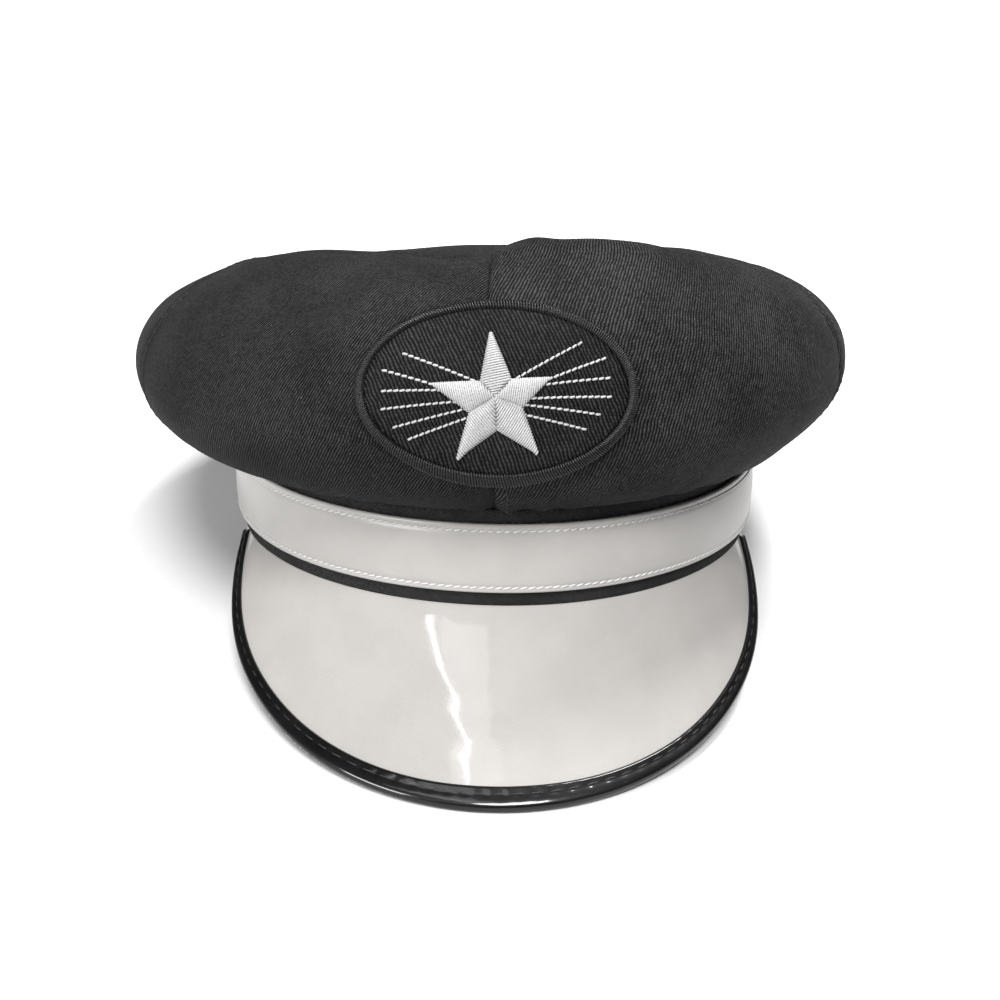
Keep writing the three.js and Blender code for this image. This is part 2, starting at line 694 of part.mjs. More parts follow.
const cap = new THREE.Group();
for (const [name, solid, look] of placed) {
  const geometry = new THREE.BufferGeometry();
  const moved = solid.points.flatMap(([x, y, z]) => [x - middle.x, y - middle.y, z]);
  geometry.setAttribute("position", new THREE.Float32BufferAttribute(moved, 3));
  geometry.setIndex(solid.faces.flat());
  const mesh = new THREE.Mesh(geometry, new THREE.MeshStandardMaterial(look));
  mesh.name = name;
  cap.add(mesh);
}

export default cap;
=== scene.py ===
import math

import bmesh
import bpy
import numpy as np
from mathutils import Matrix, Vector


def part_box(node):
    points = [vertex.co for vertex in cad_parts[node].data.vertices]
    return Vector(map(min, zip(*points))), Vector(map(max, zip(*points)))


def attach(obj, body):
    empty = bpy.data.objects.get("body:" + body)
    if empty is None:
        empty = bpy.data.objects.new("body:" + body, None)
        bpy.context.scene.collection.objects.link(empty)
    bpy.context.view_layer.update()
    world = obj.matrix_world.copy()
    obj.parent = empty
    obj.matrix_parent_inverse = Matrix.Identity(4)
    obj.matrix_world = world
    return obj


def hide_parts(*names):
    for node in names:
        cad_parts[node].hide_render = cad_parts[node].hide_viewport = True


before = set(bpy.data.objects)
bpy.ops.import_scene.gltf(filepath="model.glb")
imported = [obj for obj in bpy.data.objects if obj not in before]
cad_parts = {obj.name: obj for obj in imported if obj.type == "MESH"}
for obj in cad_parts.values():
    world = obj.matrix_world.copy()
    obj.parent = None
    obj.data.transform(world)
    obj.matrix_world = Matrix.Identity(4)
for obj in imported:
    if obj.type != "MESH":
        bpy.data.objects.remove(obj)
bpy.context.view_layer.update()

# %% [markdown]
# # A soft peaked cap of black twill with a white band and peak
# The real cap is sewn from five pieces of twill: two at the front, two at the back and a round
# top. They hang from a stiff band that a strap of glossy vinyl covers, and a vinyl peak with a
# black bound edge is sewn under the band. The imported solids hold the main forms. Here each of
# them gets a finer twin that is worked out from the same sizes, so that the two agree, and then
# the seams, ribs, threads and gloss that only show in a picture.

MM = 0.001
print("solids to dress:", ", ".join(sorted(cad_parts)))

# %% [markdown]
# ## The driving sizes
# A cap is drawn level first, in millimetres, with its front along -Y and the lower edge of the
# strap at height 0. The head opening is an oval, and the band, the strap and the root of the
# visor all take their line from it. These are the same values that the solids were built from.

# %% Driving sizes in millimetres
BAND_HALF_WIDTH, LENGTH_OVER_WIDTH = 90.1, 1.1
BAND_WALL, BAND_BELOW_STRAP, SEAT_GAP, HEM_EASE = 2.0, 4.9, 0.3, 0.4
STRAP_HEIGHT, STRAP_WALL, STRAP_BULGE = 21.5, 1.5, 0.8
HEM_HEIGHT, CROWN_HALF_WIDTH, CROWN_HEIGHT = 26.0, 122.0, 95.6
ROOF_FALL_PER_MM, TOP_SINK, CLOTH_WALL = 0.146, 6.0, 1.5
SIDE_SEAM_AZIMUTH, SIDE_SEAM_LEAN = math.radians(65.5), math.radians(9.0)
SEAM_DIP, SEAM_HALF_WIDTH, RIM_LEVEL_SHARE = 0.7, 2.6, 0.62
VISOR_HALF_ARC, VISOR_SLOPE, VISOR_FLARE = math.radians(74.5), math.radians(44.4), 0.35
VISOR_LENGTH, VISOR_END_ARC, VISOR_SPREAD = 63.0, 0.955, math.radians(77.4)
VISOR_WALL, BINDING_WIDTH, BINDING_WALL, BINDING_ROUND = 1.6, 7.3, 1.0, 1.2
PATCH_HALF_WIDTH, PATCH_HALF_HEIGHT, PATCH_FULLNESS = 37.9, 23.3, 0.016
PATCH_LEAN, PATCH_CENTRE_SIDE, PATCH_CENTRE_UP = math.radians(28.5), -1.7, 59.6
PATCH_WALL, PATCH_GAP, BORDER_WIDTH, BORDER_HEIGHT = 1.0, 0.45, 2.4, 1.6
STAR_RADIUS, STAR_EDGE, STAR_RIDGE = 17.8, 0.6, 0.9
STAR_CENTRE_UP, STAR_CENTRE_SIDE = -2.7, -0.9


def oval_radius(azimuth, half_width):
    across = np.sin(azimuth) / half_width
    return 1 / np.hypot(across, np.cos(azimuth) / (half_width * LENGTH_OVER_WIDTH))


def around(azimuth, radius, height):
    azimuth, radius, height = np.broadcast_arrays(azimuth, radius, height)
    return np.stack([radius * np.sin(azimuth), -radius * np.cos(azimuth), height], -1)


def unit(vectors):
    return vectors / np.linalg.norm(vectors, axis=-1, keepdims=True)


def full_turn(count):
    return np.linspace(0, math.tau, count, endpoint=False)


print(f"head opening {2 * (BAND_HALF_WIDTH - BAND_WALL):.0f} mm wide inside the band")

# %% [markdown]
# ## From the drawing to the floor
# The cap doesn't rest level. It stands on the front of its peak and on the back of its band, so
# the drawing is tipped back until both touch. The angle follows from the two lowest places, and
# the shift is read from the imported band, which makes every piece land where its solid is.


# %% The tip of the resting cap
def visor_point(arc, down):
    azimuth = arc * VISOR_HALF_ARC
    middle = BAND_HALF_WIDTH - BAND_WALL / 2
    root = around(azimuth, oval_radius(azimuth, middle), -BAND_BELOW_STRAP)
    flare = VISOR_FLARE * np.sin(azimuth)
    slope = np.ones_like(flare)
    ruling = [flare, -math.cos(VISOR_SLOPE) * slope, -math.sin(VISOR_SLOPE) * slope]
    return root + np.stack(ruling, -1) * np.asarray(down, float)[..., None]


rim_half = VISOR_WALL / 2 + SEAT_GAP + BINDING_WALL
rim_front = visor_point(np.float64(0), np.float64(VISOR_LENGTH - BINDING_ROUND))
rim_low = rim_front - rim_half * np.array([0, -math.sin(VISOR_SLOPE), math.cos(VISOR_SLOPE)])
back_low = np.array([0, BAND_HALF_WIDTH * LENGTH_OVER_WIDTH, -BAND_BELOW_STRAP])
tip = math.atan2(back_low[2] - rim_low[2], back_low[1] - rim_low[1])
TIPPED = np.array(Matrix.Rotation(-tip, 3, "X"))

turns = full_turn(72)[:, None]
ends = [[-BAND_BELOW_STRAP, HEM_HEIGHT - SEAT_GAP]]
band_ends = around(turns, oval_radius(turns, BAND_HALF_WIDTH), ends)
band_top = np.array(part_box("head_band")[1]) / MM
SHIFT = band_top - (band_ends @ TIPPED.T).reshape(-1, 3).max(0)


def to_floor(points):
    placed = np.asarray(points) @ TIPPED.T + SHIFT
    placed[..., 2] = np.maximum(placed[..., 2], 0)
    return placed * MM


print(f"tipped back {math.degrees(tip):.1f} degrees, moved by {np.round(SHIFT, 2)} mm")

# %% [markdown]
# ## Camera, floor and light
# The camera was matched to the photograph: 50 cm from the cap, a little to its left and 28
# degrees above the floor. A high sun in front makes the floor pale, a soft light on the left
# fills the front, and one behind on the right grazes the top of the crown. Three strips overhead
# are there for their mirror images on the peak: a narrow one makes the bright streak, and two
# broad ones the glow beside it.


# %% Camera
def new_object(name, data):
    thing = bpy.data.objects.new(name, data)
    bpy.context.scene.collection.objects.link(thing)
    return thing


camera = new_object("camera", bpy.data.cameras.new("camera"))
bpy.context.scene.camera = camera
camera.data.sensor_width = 36.0
camera.data.lens = 48.85
camera.data.shift_x, camera.data.shift_y = 0.006, -0.010
camera.data.clip_start, camera.data.clip_end = 0.01, 50
roll = math.radians(-1.03)
look = Vector((0.018621, 0.880563, -0.473563)).normalized()
right = Vector((0.999809, -0.019215, 0.003585)).normalized()
up = right.cross(look)
rolled_right = math.cos(roll) * right - math.sin(roll) * up
rolled_up = math.sin(roll) * right + math.cos(roll) * up
pose = Matrix((rolled_right, rolled_up, -look)).transposed().to_4x4()
pose.translation = Vector((-0.00762, -0.43316, 0.25908))
camera.matrix_world = pose
print(f"camera looks down {math.degrees(math.asin(-look.z)):.1f} degrees")


# %% Small helpers for node trees
def add_node(tree, kind, inputs=None, **settings):
    made = tree.nodes.new(kind)
    for key, value in settings.items():
        setattr(made, key, value)
    for key, value in (inputs or {}).items():
        if isinstance(value, bpy.types.NodeSocket):
            tree.links.new(value, made.inputs[key])
        else:
            made.inputs[key].default_value = value
    return made


def maths(tree, operation, first, second=0.0, third=0.0):
    inputs = {0: first, 1: second, 2: third}
    return add_node(tree, "ShaderNodeMath", inputs, operation=operation).outputs[0]


def new_material(name, settings):
    material = bpy.data.materials.new(name)
    material.use_nodes = True
    tree = material.node_tree
    shader = tree.nodes["Principled BSDF"]
    for key, value in settings.items():
        shader.inputs[key].default_value = value
    return material, tree, shader


def noise(tree, where, scale, detail):
    inputs = {"Vector": where, "Scale": scale, "Detail": detail}
    return add_node(tree, "ShaderNodeTexNoise", inputs).outputs[0]


def bump(tree, height, depth, **more):
    inputs = {"Height": height, "Distance": depth * MM, **more}
    return add_node(tree, "ShaderNodeBump", inputs).outputs[0]


def mixed(tree, share, first, second):
    inputs = {0: share, 6: first, 7: second}
    return add_node(tree, "ShaderNodeMix", inputs, data_type="RGBA").outputs[2]


def between(tree, value, low, high, to_low=0.0, to_high=1.0):
    inputs = {0: value, 1: low, 2: high, 3: to_low, 4: to_high}
    return add_node(tree, "ShaderNodeMapRange", inputs, interpolation_type="SMOOTHSTEP").outputs[0]


def grey(value, warmth=0.0):
    return (value * (1 + warmth), value, value * (1 - warmth), 1)


# %% Floor and lights
floor_material, tree, shader = new_material("floor_paper", {"Roughness": 0.9})
where = add_node(tree, "ShaderNodeTexCoord").outputs["Object"]
paper = mixed(tree, noise(tree, where, 300.0, 3.0), grey(0.5), grey(0.53))
tree.links.new(paper, shader.inputs["Base Color"])
FLOOR_HALF = 3.0
floor_mesh = bpy.data.meshes.new("floor")
signs = ((-1, -1), (1, -1), (1, 1), (-1, 1))
floor_corners = [(x * FLOOR_HALF, y * FLOOR_HALF, 0) for x, y in signs]
floor_mesh.from_pydata(floor_corners, [], [(0, 1, 2, 3)])
floor_mesh.materials.append(floor_material)
new_object("floor", floor_mesh)

world = bpy.data.worlds.new("studio")
bpy.context.scene.world = world
world.use_nodes = True
sky = world.node_tree.nodes["Background"].inputs
sky["Color"].default_value, sky["Strength"].default_value = (1, 1, 1, 1), 0.04
bpy.context.scene.view_settings.view_transform = "Standard"


def soft_light(name, place, target, size, watts):
    lamp = bpy.data.lights.new(name, "AREA")
    lamp.shape, lamp.size, lamp.size_y, lamp.energy = "RECTANGLE", size[0], size[1], watts
    thing = new_object(name, lamp)
    thing.location = place
    thing.rotation_euler = (Vector(target) - Vector(place)).to_track_quat("-Z", "Y").to_euler()
    return thing


soft_light("key", (-1.3, -1.3, 0.9), (0, 0, 0.05), (0.8, 0.8), 48)
soft_light("shoulder", (0.42, 0.42, 1.45), (0.05, 0, 0.1), (0.4, 0.4), 38)
CEILING = 1.5
OVERHEAD = [
    # across, along, side, front, turn in degrees, watts
    (0.018, 0.52, -0.378, -0.457, 51.6, 0.62),
    (0.16, 0.5, -0.27, -0.44, 40, 0.75),
    (0.3, 0.5, -0.2, -0.45, 20, 1.2),
]
for across, along, x, y, turn, watts in OVERHEAD:
    strip = soft_light("overhead", (x, y, CEILING), (x, y, 0), (across, along), watts)
    strip.rotation_euler = (0, 0, math.radians(turn))
noon = bpy.data.lights.new("noon", "SUN")
noon.energy, noon.angle = 4.7, 0.35
towards_noon = Vector((0.08, -0.5, 0.86))
new_object("noon", noon).rotation_euler = towards_noon.to_track_quat("Z", "Y").to_euler()
print("stage is set")

# %% [markdown]
# ## The form of the crown
# A soft crown is a bag: it leaves the band, swells out to a widest line and rolls over into a
# nearly flat top. Two arcs, one below and one above the widest line, give that section, and a
# short table says how full they are at eight places round the cap. Folds and dents are soft
# bumps that are added along the surface's own direction. A cloth simulation would find other
# folds than the photograph's, so the folds are listed, one row each.

# %% Sections and folds of the crown
SECTIONS = np.array([
    # reach, widest, upper, lower, rim, from the front by 45 degrees towards +X
    (1.028, 0.541, 2.71, 1.61, 0.66),
    (1.0, 0.566, 2.5, 1.63, 0.61),
    (0.99, 0.59, 2.36, 1.56, 0.52),
    (1.018, 0.593, 2.2, 1.64, 0.43),
    (1.05, 0.59, 2.14, 1.7, 0.4),
    (1.034, 0.591, 2.06, 1.77, 0.43),
    (1.019, 0.582, 1.99, 1.88, 0.52),
    (1.036, 0.529, 2.28, 1.88, 0.61),
])
REACH, WIDEST, UPPER, LOWER, RIM = range(5)
FOLDS = [
    # azimuth, level, width, span, rise as a share of the crown's height
    (-33, 1.42, 13, 0.2, -0.026),
    (-13, 1.62, 10, 0.16, -0.04),
    (-16, 1.38, 6, 0.12, 0.012),
    (23, 1.56, 14, 0.22, 0.032),
    (40, 1.3, 12, 0.16, -0.014),
    (57, 0.5, 6, 0.16, -0.008),
    (-14, 0.5, 12, 0.16, 0.008),
    (-48, 0.75, 12, 0.2, 0.008),
    (-140, 1.0, 22, 0.3, -0.02),
    (150, 0.9, 20, 0.3, -0.018),
    (-70, 1.72, 34, 0.14, -0.022),
    (170, 1.6, 40, 0.16, 0.015),
]
DRAPES = [
    # azimuth, level, width, span, rise in mm
    (-80, 1.15, 10, 0.14, -0.75),
    (-87, 1.42, 10, 0.12, -1.3),
    (-55, 1.63, 16, 0.12, 1.3),
    (-35, 1.68, 8, 0.1, -0.6),
    (-4, 1.71, 4, 0.1, -2.4),
    (7.5, 1.69, 4.5, 0.1, 1.25),
    (24, 1.65, 9, 0.1, -0.2),
    (34, 1.62, 6, 0.1, 0.5),
    (50, 1.64, 10, 0.1, 1.0),
    (80, 1.5, 12, 0.12, -2.0),
    (80, 1.25, 14, 0.2, -0.95),
]


def round_table(column, azimuth):
    turns = (azimuth / math.tau) % 1.0 * len(SECTIONS)
    row = np.floor(turns).astype(int)
    f = turns - row
    a, b, c, d = (SECTIONS[(row + k) % len(SECTIONS), column] for k in (-1, 0, 1, 2))
    return b + 0.5 * f * (c - a + f * (2 * a - 5 * b + 4 * c - d + f * (3 * (b - c) + d - a)))


def crown_body(azimuth, level):
    azimuth, level = np.broadcast_arrays(np.asarray(azimuth, float), np.asarray(level, float))
    hem = oval_radius(azimuth, BAND_HALF_WIDTH + HEM_EASE)
    reach = CROWN_HALF_WIDTH * round_table(REACH, azimuth)
    widest = CROWN_HEIGHT * round_table(WIDEST, azimuth)
    turn, power = np.clip(level, 0, 1) * math.pi / 2, 2 / round_table(LOWER, azimuth)
    out, down = np.sin(turn) ** power, np.maximum(np.cos(turn), 0) ** power
    low = around(azimuth, hem + (reach - hem) * out, widest - (widest - HEM_HEIGHT) * down)
    turn, power = np.clip(level - 1, 0, 1) * math.pi / 2, 2 / round_table(UPPER, azimuth)
    radius = reach * np.maximum(np.cos(turn), 0) ** power
    roof = CROWN_HEIGHT + ROOF_FALL_PER_MM * radius * np.cos(azimuth)
    rim = round_table(RIM, azimuth)
    inside = np.clip((level - 1 - rim) / (1 - rim), 0, 1)
    sink = TOP_SINK * np.sin(np.minimum(inside * 1.6, 1) * math.pi / 2)
    high = around(azimuth, radius, widest + (roof - widest) * np.sin(turn) ** power - sink)
    return np.where((level <= 1)[..., None], low, high)


def crown_normal(azimuth, level):
    e = 0.03
    level = np.clip(level, e, 1.97)
    along = crown_body(azimuth + e, level) - crown_body(azimuth - e, level)
    up = crown_body(azimuth, level + e) - crown_body(azimuth, level - e)
    return unit(np.cross(along, up))


def side_seam(level):
    return SIDE_SEAM_AZIMUTH + SIDE_SEAM_LEAN * np.clip((level - 1.2) / 0.3, 0, 1) ** 2


def left_seam(level):
    return -side_seam(level)


def back_seam(level):
    return math.pi + 0 * level


def front_seam(level):
    return -math.radians(1.0) - math.radians(1.5) * np.clip((level - 0.5) / 0.6, 0, 1)


def top_seam(azimuth):
    return 1 + round_table(RIM, azimuth)


def turn_between(a, b):
    return np.arctan2(np.sin(a - b), np.cos(a - b))


widest_point = crown_body(math.pi / 2, 1.0)
print(f"crown is {2 * widest_point[0]:.0f} mm wide over its sides")

# %% [markdown]
# ## Folds, seams and hem of the crown
# A seam shows as a narrow valley. At the front the two layers of the seam allowance lie to one
# side under the cloth, so that side stands a little higher as far as the row of topstitching.
# Small gathers run round the hem where the full crown is sewn to the shorter band.


# %% Folds, seams and gathers
CREASES = [
    # from azimuth, from level, to azimuth, to level, width in mm, rise in mm
    (-12, 1.63, -3, 1.56, 1.6, -1.3),
    (-16, 1.56, -5, 1.51, 3.0, 0.8),
    (27, 1.5, 17, 1.28, 5.0, 2.0),
    (17, 1.3, 30, 1.18, 4.5, 1.2),
    (-20, 1.5, -21, 1.2, 4.0, 0.9),
    (-27, 1.5, -29, 1.1, 5.0, -0.7),
]
SHOWN_GAP = 0.05
ALLOWANCE_WIDTH, ALLOWANCE_RISE = 4.4, 0.45
GATHERS, GATHER_RISE = 57, 0.55


def crown_size(azimuth, level):
    return np.linalg.norm(crown_body(azimuth, level)[..., :2], axis=-1)


def fold_rise(azimuth, level):
    rise = np.zeros(np.broadcast(azimuth, level).shape)
    for rows, scale in ((FOLDS, CROWN_HEIGHT), (DRAPES, 1)):
        for place, height, width, span, lift in rows:
            side = turn_between(azimuth, math.radians(place)) / math.radians(width)
            rise += scale * lift * np.exp(-side**2 - ((level - height) / span) ** 2)
    radius = crown_size(azimuth, level)
    tall = CROWN_HALF_WIDTH * RIM_LEVEL_SHARE
    for az0, level0, az1, level1, width, height in CREASES:
        run = np.array([math.radians(az1 - az0) * CROWN_HALF_WIDTH, (level1 - level0) * tall])
        x = turn_between(azimuth, math.radians(az0)) * radius
        y = (level - level0) * tall
        along = (x * run[0] + y * run[1]) / (run @ run)
        away = (x * run[1] - y * run[0]) / np.linalg.norm(run)
        taper = np.exp(-(((along - 0.5) / 0.55) ** 4))
        rise += height * taper * np.exp(-((away / width) ** 2))
    wave = np.sin(azimuth * GATHERS + 2 * np.sin(azimuth * 5))
    patches = 0.5 + 0.5 * np.sin(azimuth * 11 + 1)
    hem = np.clip(level / 0.08, 0, 1) * np.exp(-((level / 0.42) ** 2))
    return rise + GATHER_RISE * wave * patches * hem


def valley(away, depth, stitch_depth):
    narrow = stitch_depth * np.exp(-((away / 0.8) ** 2))
    return depth * np.exp(-((away / SEAM_HALF_WIDTH) ** 2)) + narrow


def seam_rise(azimuth, level):
    radius = crown_size(azimuth, level)
    rim = top_seam(azimuth)
    below = np.clip((rim - level) * 20 + 0.5, 0, 1)
    rise = np.zeros(np.broadcast(azimuth, level).shape)
    for seam in (front_seam(level), side_seam(level), -side_seam(level), math.pi):
        away = turn_between(azimuth, seam) * radius
        rise -= below * valley(away, SEAM_DIP, 0.25)
        step = (1 - np.tanh((away - ALLOWANCE_WIDTH) / 0.5)) / 2 * (1 + np.tanh(away / 0.5)) / 2
        rise += ALLOWANCE_RISE * below * step
    away = (rim - level) * CROWN_HALF_WIDTH * RIM_LEVEL_SHARE
    return rise - valley(away, SEAM_DIP, 0.3)


def crown_point(azimuth, level, lift=0.0, seams=True):
    rise = fold_rise(azimuth, level) + (seam_rise(azimuth, level) if seams else 0)
    fade = np.clip(np.asarray(level) / 0.15, 0, 1)
    out = (lift + rise * fade)[..., None]
    return crown_body(azimuth, level) + crown_normal(azimuth, level) * out


print(f"{len(FOLDS)} folds, {len(DRAPES)} drapes, {len(CREASES)} creases")

# %% [markdown]
# ## Cloth walls from a grid
# Every cloth piece here is a grid of points on its outer face and a second grid one wall
# thickness further in, joined round the edge. The grid also gives the cloth its own flat
# coordinates in millimetres: the lengths along its middle rows. A weave that is drawn in them
# follows the cut of the piece round every curve, as a real weave does.


# %% Mesh from points and faces
def outward(points, faces):
    a, b, c = (points[[face[k] for face in faces]] for k in range(3))
    points = points - points.mean(0)
    volume = (np.cross(a, b) * c).sum()
    return faces if volume > 0 else [face[::-1] for face in faces]


pieces = []


def new_piece(node, points, faces, material, cloth=None):
    name = node + "_dressed"
    mesh = bpy.data.meshes.new(name)
    placed = to_floor(points).reshape(-1, 3)
    faces = outward(placed, [list(face) for face in faces])
    mesh.from_pydata(placed.tolist(), [], faces)
    if cloth is not None:
        layer = mesh.uv_layers.new(name="cloth")
        corners = np.zeros(len(mesh.loops), np.int32)
        mesh.loops.foreach_get("vertex_index", corners)
        layer.data.foreach_set("uv", np.asarray(cloth).reshape(-1, 2)[corners].ravel())
    mesh.polygons.foreach_set("use_smooth", [True] * len(mesh.polygons))
    mesh.materials.append(material)
    piece = new_object(name, mesh)
    pieces.append(piece)
    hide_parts(node)
    print(f"{name}: {len(mesh.polygons)} faces")
    return piece


def wall_faces(rows, columns, closed=False):
    ids = np.arange(rows * columns).reshape(rows, columns)
    if closed:
        ids = np.vstack([ids, ids[:1]])
    total = rows * columns
    outer = np.stack([ids[:-1, :-1], ids[1:, :-1], ids[1:, 1:], ids[:-1, 1:]], -1).reshape(-1, 4)
    rims = [ids[::-1, 0], ids[:, -1]] + ([] if closed else [ids[0], ids[-1, ::-1]])
    walls = [np.stack([rim[:-1], rim[1:], rim[1:] + total, rim[:-1] + total], -1) for rim in rims]
    return np.concatenate([outer, outer[:, ::-1] + total] + walls)


def wall(outer, inner, cloth):
    points = np.concatenate([outer.reshape(-1, 3), inner.reshape(-1, 3)])
    return points, wall_faces(*outer.shape[:2]), np.concatenate([cloth, cloth])


def cloth_lengths(grid, straight_edge):
    rows, columns = grid.shape[:2]
    sides = np.linalg.norm(np.diff(grid, axis=0), axis=-1)
    across = np.concatenate([np.zeros((1, columns)), np.cumsum(sides, 0)])
    across -= across[straight_edge].copy()
    widest = np.argmax(np.abs(across[-1 - straight_edge]))
    across = 0.45 * across + 0.55 * across[:, widest:widest + 1]
    rising = np.linalg.norm(np.diff(grid, axis=1), axis=-1).mean(0)
    along = np.broadcast_to(np.concatenate([[0], np.cumsum(rising)]), (rows, columns))
    return np.stack([across, along], -1)


# %% [markdown]
# ## Black twill
# Twill shows fine slanting ribs. Each rib is a row of short floats of thread, each row set a
# little further on than the last. The tree draws that from the cloth coordinates: a wave across
# the ribs, a shorter one along them that is moved on by the number of the rib, and a little
# noise for uneven yarn and lint. The same value drives the colour and the bump.


# %% Twill material
def twill(name, dark, light, pitch, lean, relief=0.22, lint=0.35):
    dull = {"Roughness": 0.68, "Specular IOR Level": 0.05}
    material, tree, shader = new_material(name, dull)
    cloth = add_node(tree, "ShaderNodeUVMap", uv_map="cloth").outputs[0]
    turned = add_node(tree, "ShaderNodeMapping", {"Vector": cloth, "Rotation": (0, 0, lean)})
    split = add_node(tree, "ShaderNodeSeparateXYZ", {0: turned.outputs[0]})
    uneven = noise(tree, cloth, 0.35, 3.0)
    across = maths(tree, "MULTIPLY_ADD", uneven, pitch, split.outputs[0])
    ribs = maths(tree, "DIVIDE", across, pitch)
    rib = maths(tree, "SINE", maths(tree, "MULTIPLY", ribs, math.tau))
    rib = maths(tree, "MULTIPLY_ADD", rib, 0.5, 0.5)
    number = maths(tree, "FLOOR", maths(tree, "ADD", ribs, 0.25))
    along = maths(tree, "MULTIPLY_ADD", number, 0.37 * pitch, split.outputs[1])
    floats = maths(tree, "DIVIDE", along, 0.9 * pitch)
    thread = maths(tree, "MULTIPLY", maths(tree, "PINGPONG", floats, 0.5), 2.0)
    height = maths(tree, "MULTIPLY", rib, maths(tree, "MULTIPLY_ADD", thread, 0.4, 0.6))
    height = maths(tree, "MULTIPLY_ADD", noise(tree, cloth, 3.2, 2.0), 0.35, height)
    one_float = add_node(tree, "ShaderNodeCombineXYZ", {0: number, 1: maths(tree, "FLOOR", floats)})
    own = {"Vector": one_float.outputs[0]}
    chance = add_node(tree, "ShaderNodeTexWhiteNoise", own, noise_dimensions="2D").outputs["Value"]
    broad = between(tree, noise(tree, cloth, 0.035, 4.0), 0.3, 0.7, 0.8, 1.1)
    tone = maths(tree, "MULTIPLY", height, broad)
    tone = maths(tree, "MULTIPLY", tone, maths(tree, "MULTIPLY_ADD", chance, 0.5, 0.75))
    colour = mixed(tree, between(tree, tone, 0.1, 1.3), dark, light)
    speck = add_node(tree, "ShaderNodeTexVoronoi", {"Vector": cloth, "Scale": 0.28})
    lint_share = between(tree, speck.outputs[0], 0.05, 0.02, 0.0, lint)
    colour = mixed(tree, lint_share, colour, grey(0.35))
    tree.links.new(colour, shader.inputs["Base Color"])
    tree.links.new(bump(tree, height, relief, Strength=0.9), shader.inputs["Normal"])
    return material


# The right panels' copy has its own rib pitch and slant. Its lighter colour is painted light: it stands
# in for the brighter light that falls on the crown's right side.
twill_left = twill("crown_twill_left", grey(0.001), grey(0.034), 0.78, math.radians(34))
right_twill_painted_light = twill("crown_twill_right_painted_light", grey(0.001), grey(0.039), 1.0, math.radians(20))
twill_band = twill("band_twill", grey(0.004), grey(0.045), 0.6, math.radians(-40))


# %% [markdown]
# ## The five pieces of the crown
# Each side piece is bounded by two seams and by the seam of the top, which leans with the
# cloth. The grid walks from seam to seam and from the hem to the top seam, so its edges are the
# real seams and no cutting is needed.


# %% Crown panels
def seam_edge_rise(share, cloth_across):
    return -0.3 * np.exp(-((share * cloth_across / 0.7) ** 2))


def panel_grid(left, right, across, up):
    half = SHOWN_GAP / 2 / CROWN_HALF_WIDTH
    s, share = across[:, None], up[None, :]
    level = share * 1.5 + 0 * s
    for _ in range(5):
        room = half * (1 + np.clip(level - 1, 0, 1))
        low, high = left(level) + room, right(level) - room
        azimuth = low + (high - low) * s
        level = share * (top_seam(azimuth) - half * 1.5)
    return azimuth, level


def crown_panel(name, left, right, material, straight_edge):
    s = np.linspace(0, 1, 152)
    across = s - 0.012 * np.sin(math.tau * s)
    azimuth, level = panel_grid(left, right, across, np.linspace(0, 1, 110))
    roll_in = seam_edge_rise(np.minimum(across, 1 - across)[:, None], 130.0) + 0 * level
    outer = crown_point(azimuth, level, roll_in)
    inner = crown_point(azimuth, level, roll_in - CLOTH_WALL)
    cloth = cloth_lengths(outer, straight_edge)
    points, faces, flat = wall(outer, inner, cloth)
    piece = new_piece(name, points, faces, material, flat)


crown_panel("crown_front_left", left_seam, front_seam, twill_left, -1)
crown_panel("crown_front_right", front_seam, side_seam, right_twill_painted_light, 0)
crown_panel("crown_back_left", lambda level: -back_seam(level), left_seam, twill_left, 0)
crown_panel("crown_back_right", side_seam, back_seam, right_twill_painted_light, -1)

# %% [markdown]
# ## The round top
# The top piece is one disc of twill. Its grid runs round the seam and in towards the middle,
# where a fan closes it. Its weave is drawn in plain side and length coordinates, because a flat
# disc is cut in one piece and its threads run straight across it.


# %% Top panel
def dome_faces(rows, columns):
    faces = wall_faces(rows, columns, closed=True)
    last, total = columns - 1, rows * columns
    middle_wall = ((faces % total) % columns == last).all(1)
    faces = faces[~middle_wall].tolist()
    ids = np.arange(rows) * columns + last
    for one, two in zip(ids, np.roll(ids, -1)):
        faces.append([one, two, 2 * total])
        faces.append([two + total, one + total, 2 * total + 1])
    return faces


def dome(outer, inner):
    rows, columns = outer.shape[:2]
    middles = [outer[:, -1].mean(0), inner[:, -1].mean(0)]
    points = np.concatenate([outer.reshape(-1, 3), inner.reshape(-1, 3), middles])
    return points, dome_faces(rows, columns)


def crown_top(name):
    azimuth = full_turn(300)[:, None]
    share = (np.linspace(0, 1, 50) ** 1.15 * 0.985)[None, :]
    start = top_seam(azimuth) + SHOWN_GAP * 0.75 / CROWN_HALF_WIDTH
    edge = np.cos((start - 1) * math.pi / 2)
    shrink = (1 - share) ** (round_table(UPPER, azimuth) / 2)
    level = 1 + np.arccos(edge * shrink) / (math.pi / 2)
    roll_in = seam_edge_rise(share + 0 * level, 75.0)
    outer = crown_point(azimuth + 0 * level, level, roll_in)
    inner = crown_point(azimuth + 0 * level, level, roll_in - CLOTH_WALL)
    points, faces = dome(outer, inner)
    piece = new_piece(name, points, faces, twill_left, points[:, :2])


crown_top("crown_top")

# %% [markdown]
# ## Glossy vinyl and plain thread
# The band cover and the peak are white vinyl: a fine woven grain under a clear glossy skin. The
# grain is a small check in the piece's own coordinates, and a broader swell keeps the mirror
# images from looking like glass. The strap's skin is duller than the peak's, and the bound edge
# is a black vinyl.


# %% Vinyl and thread materials
VINYL_WEAVE = 1.05


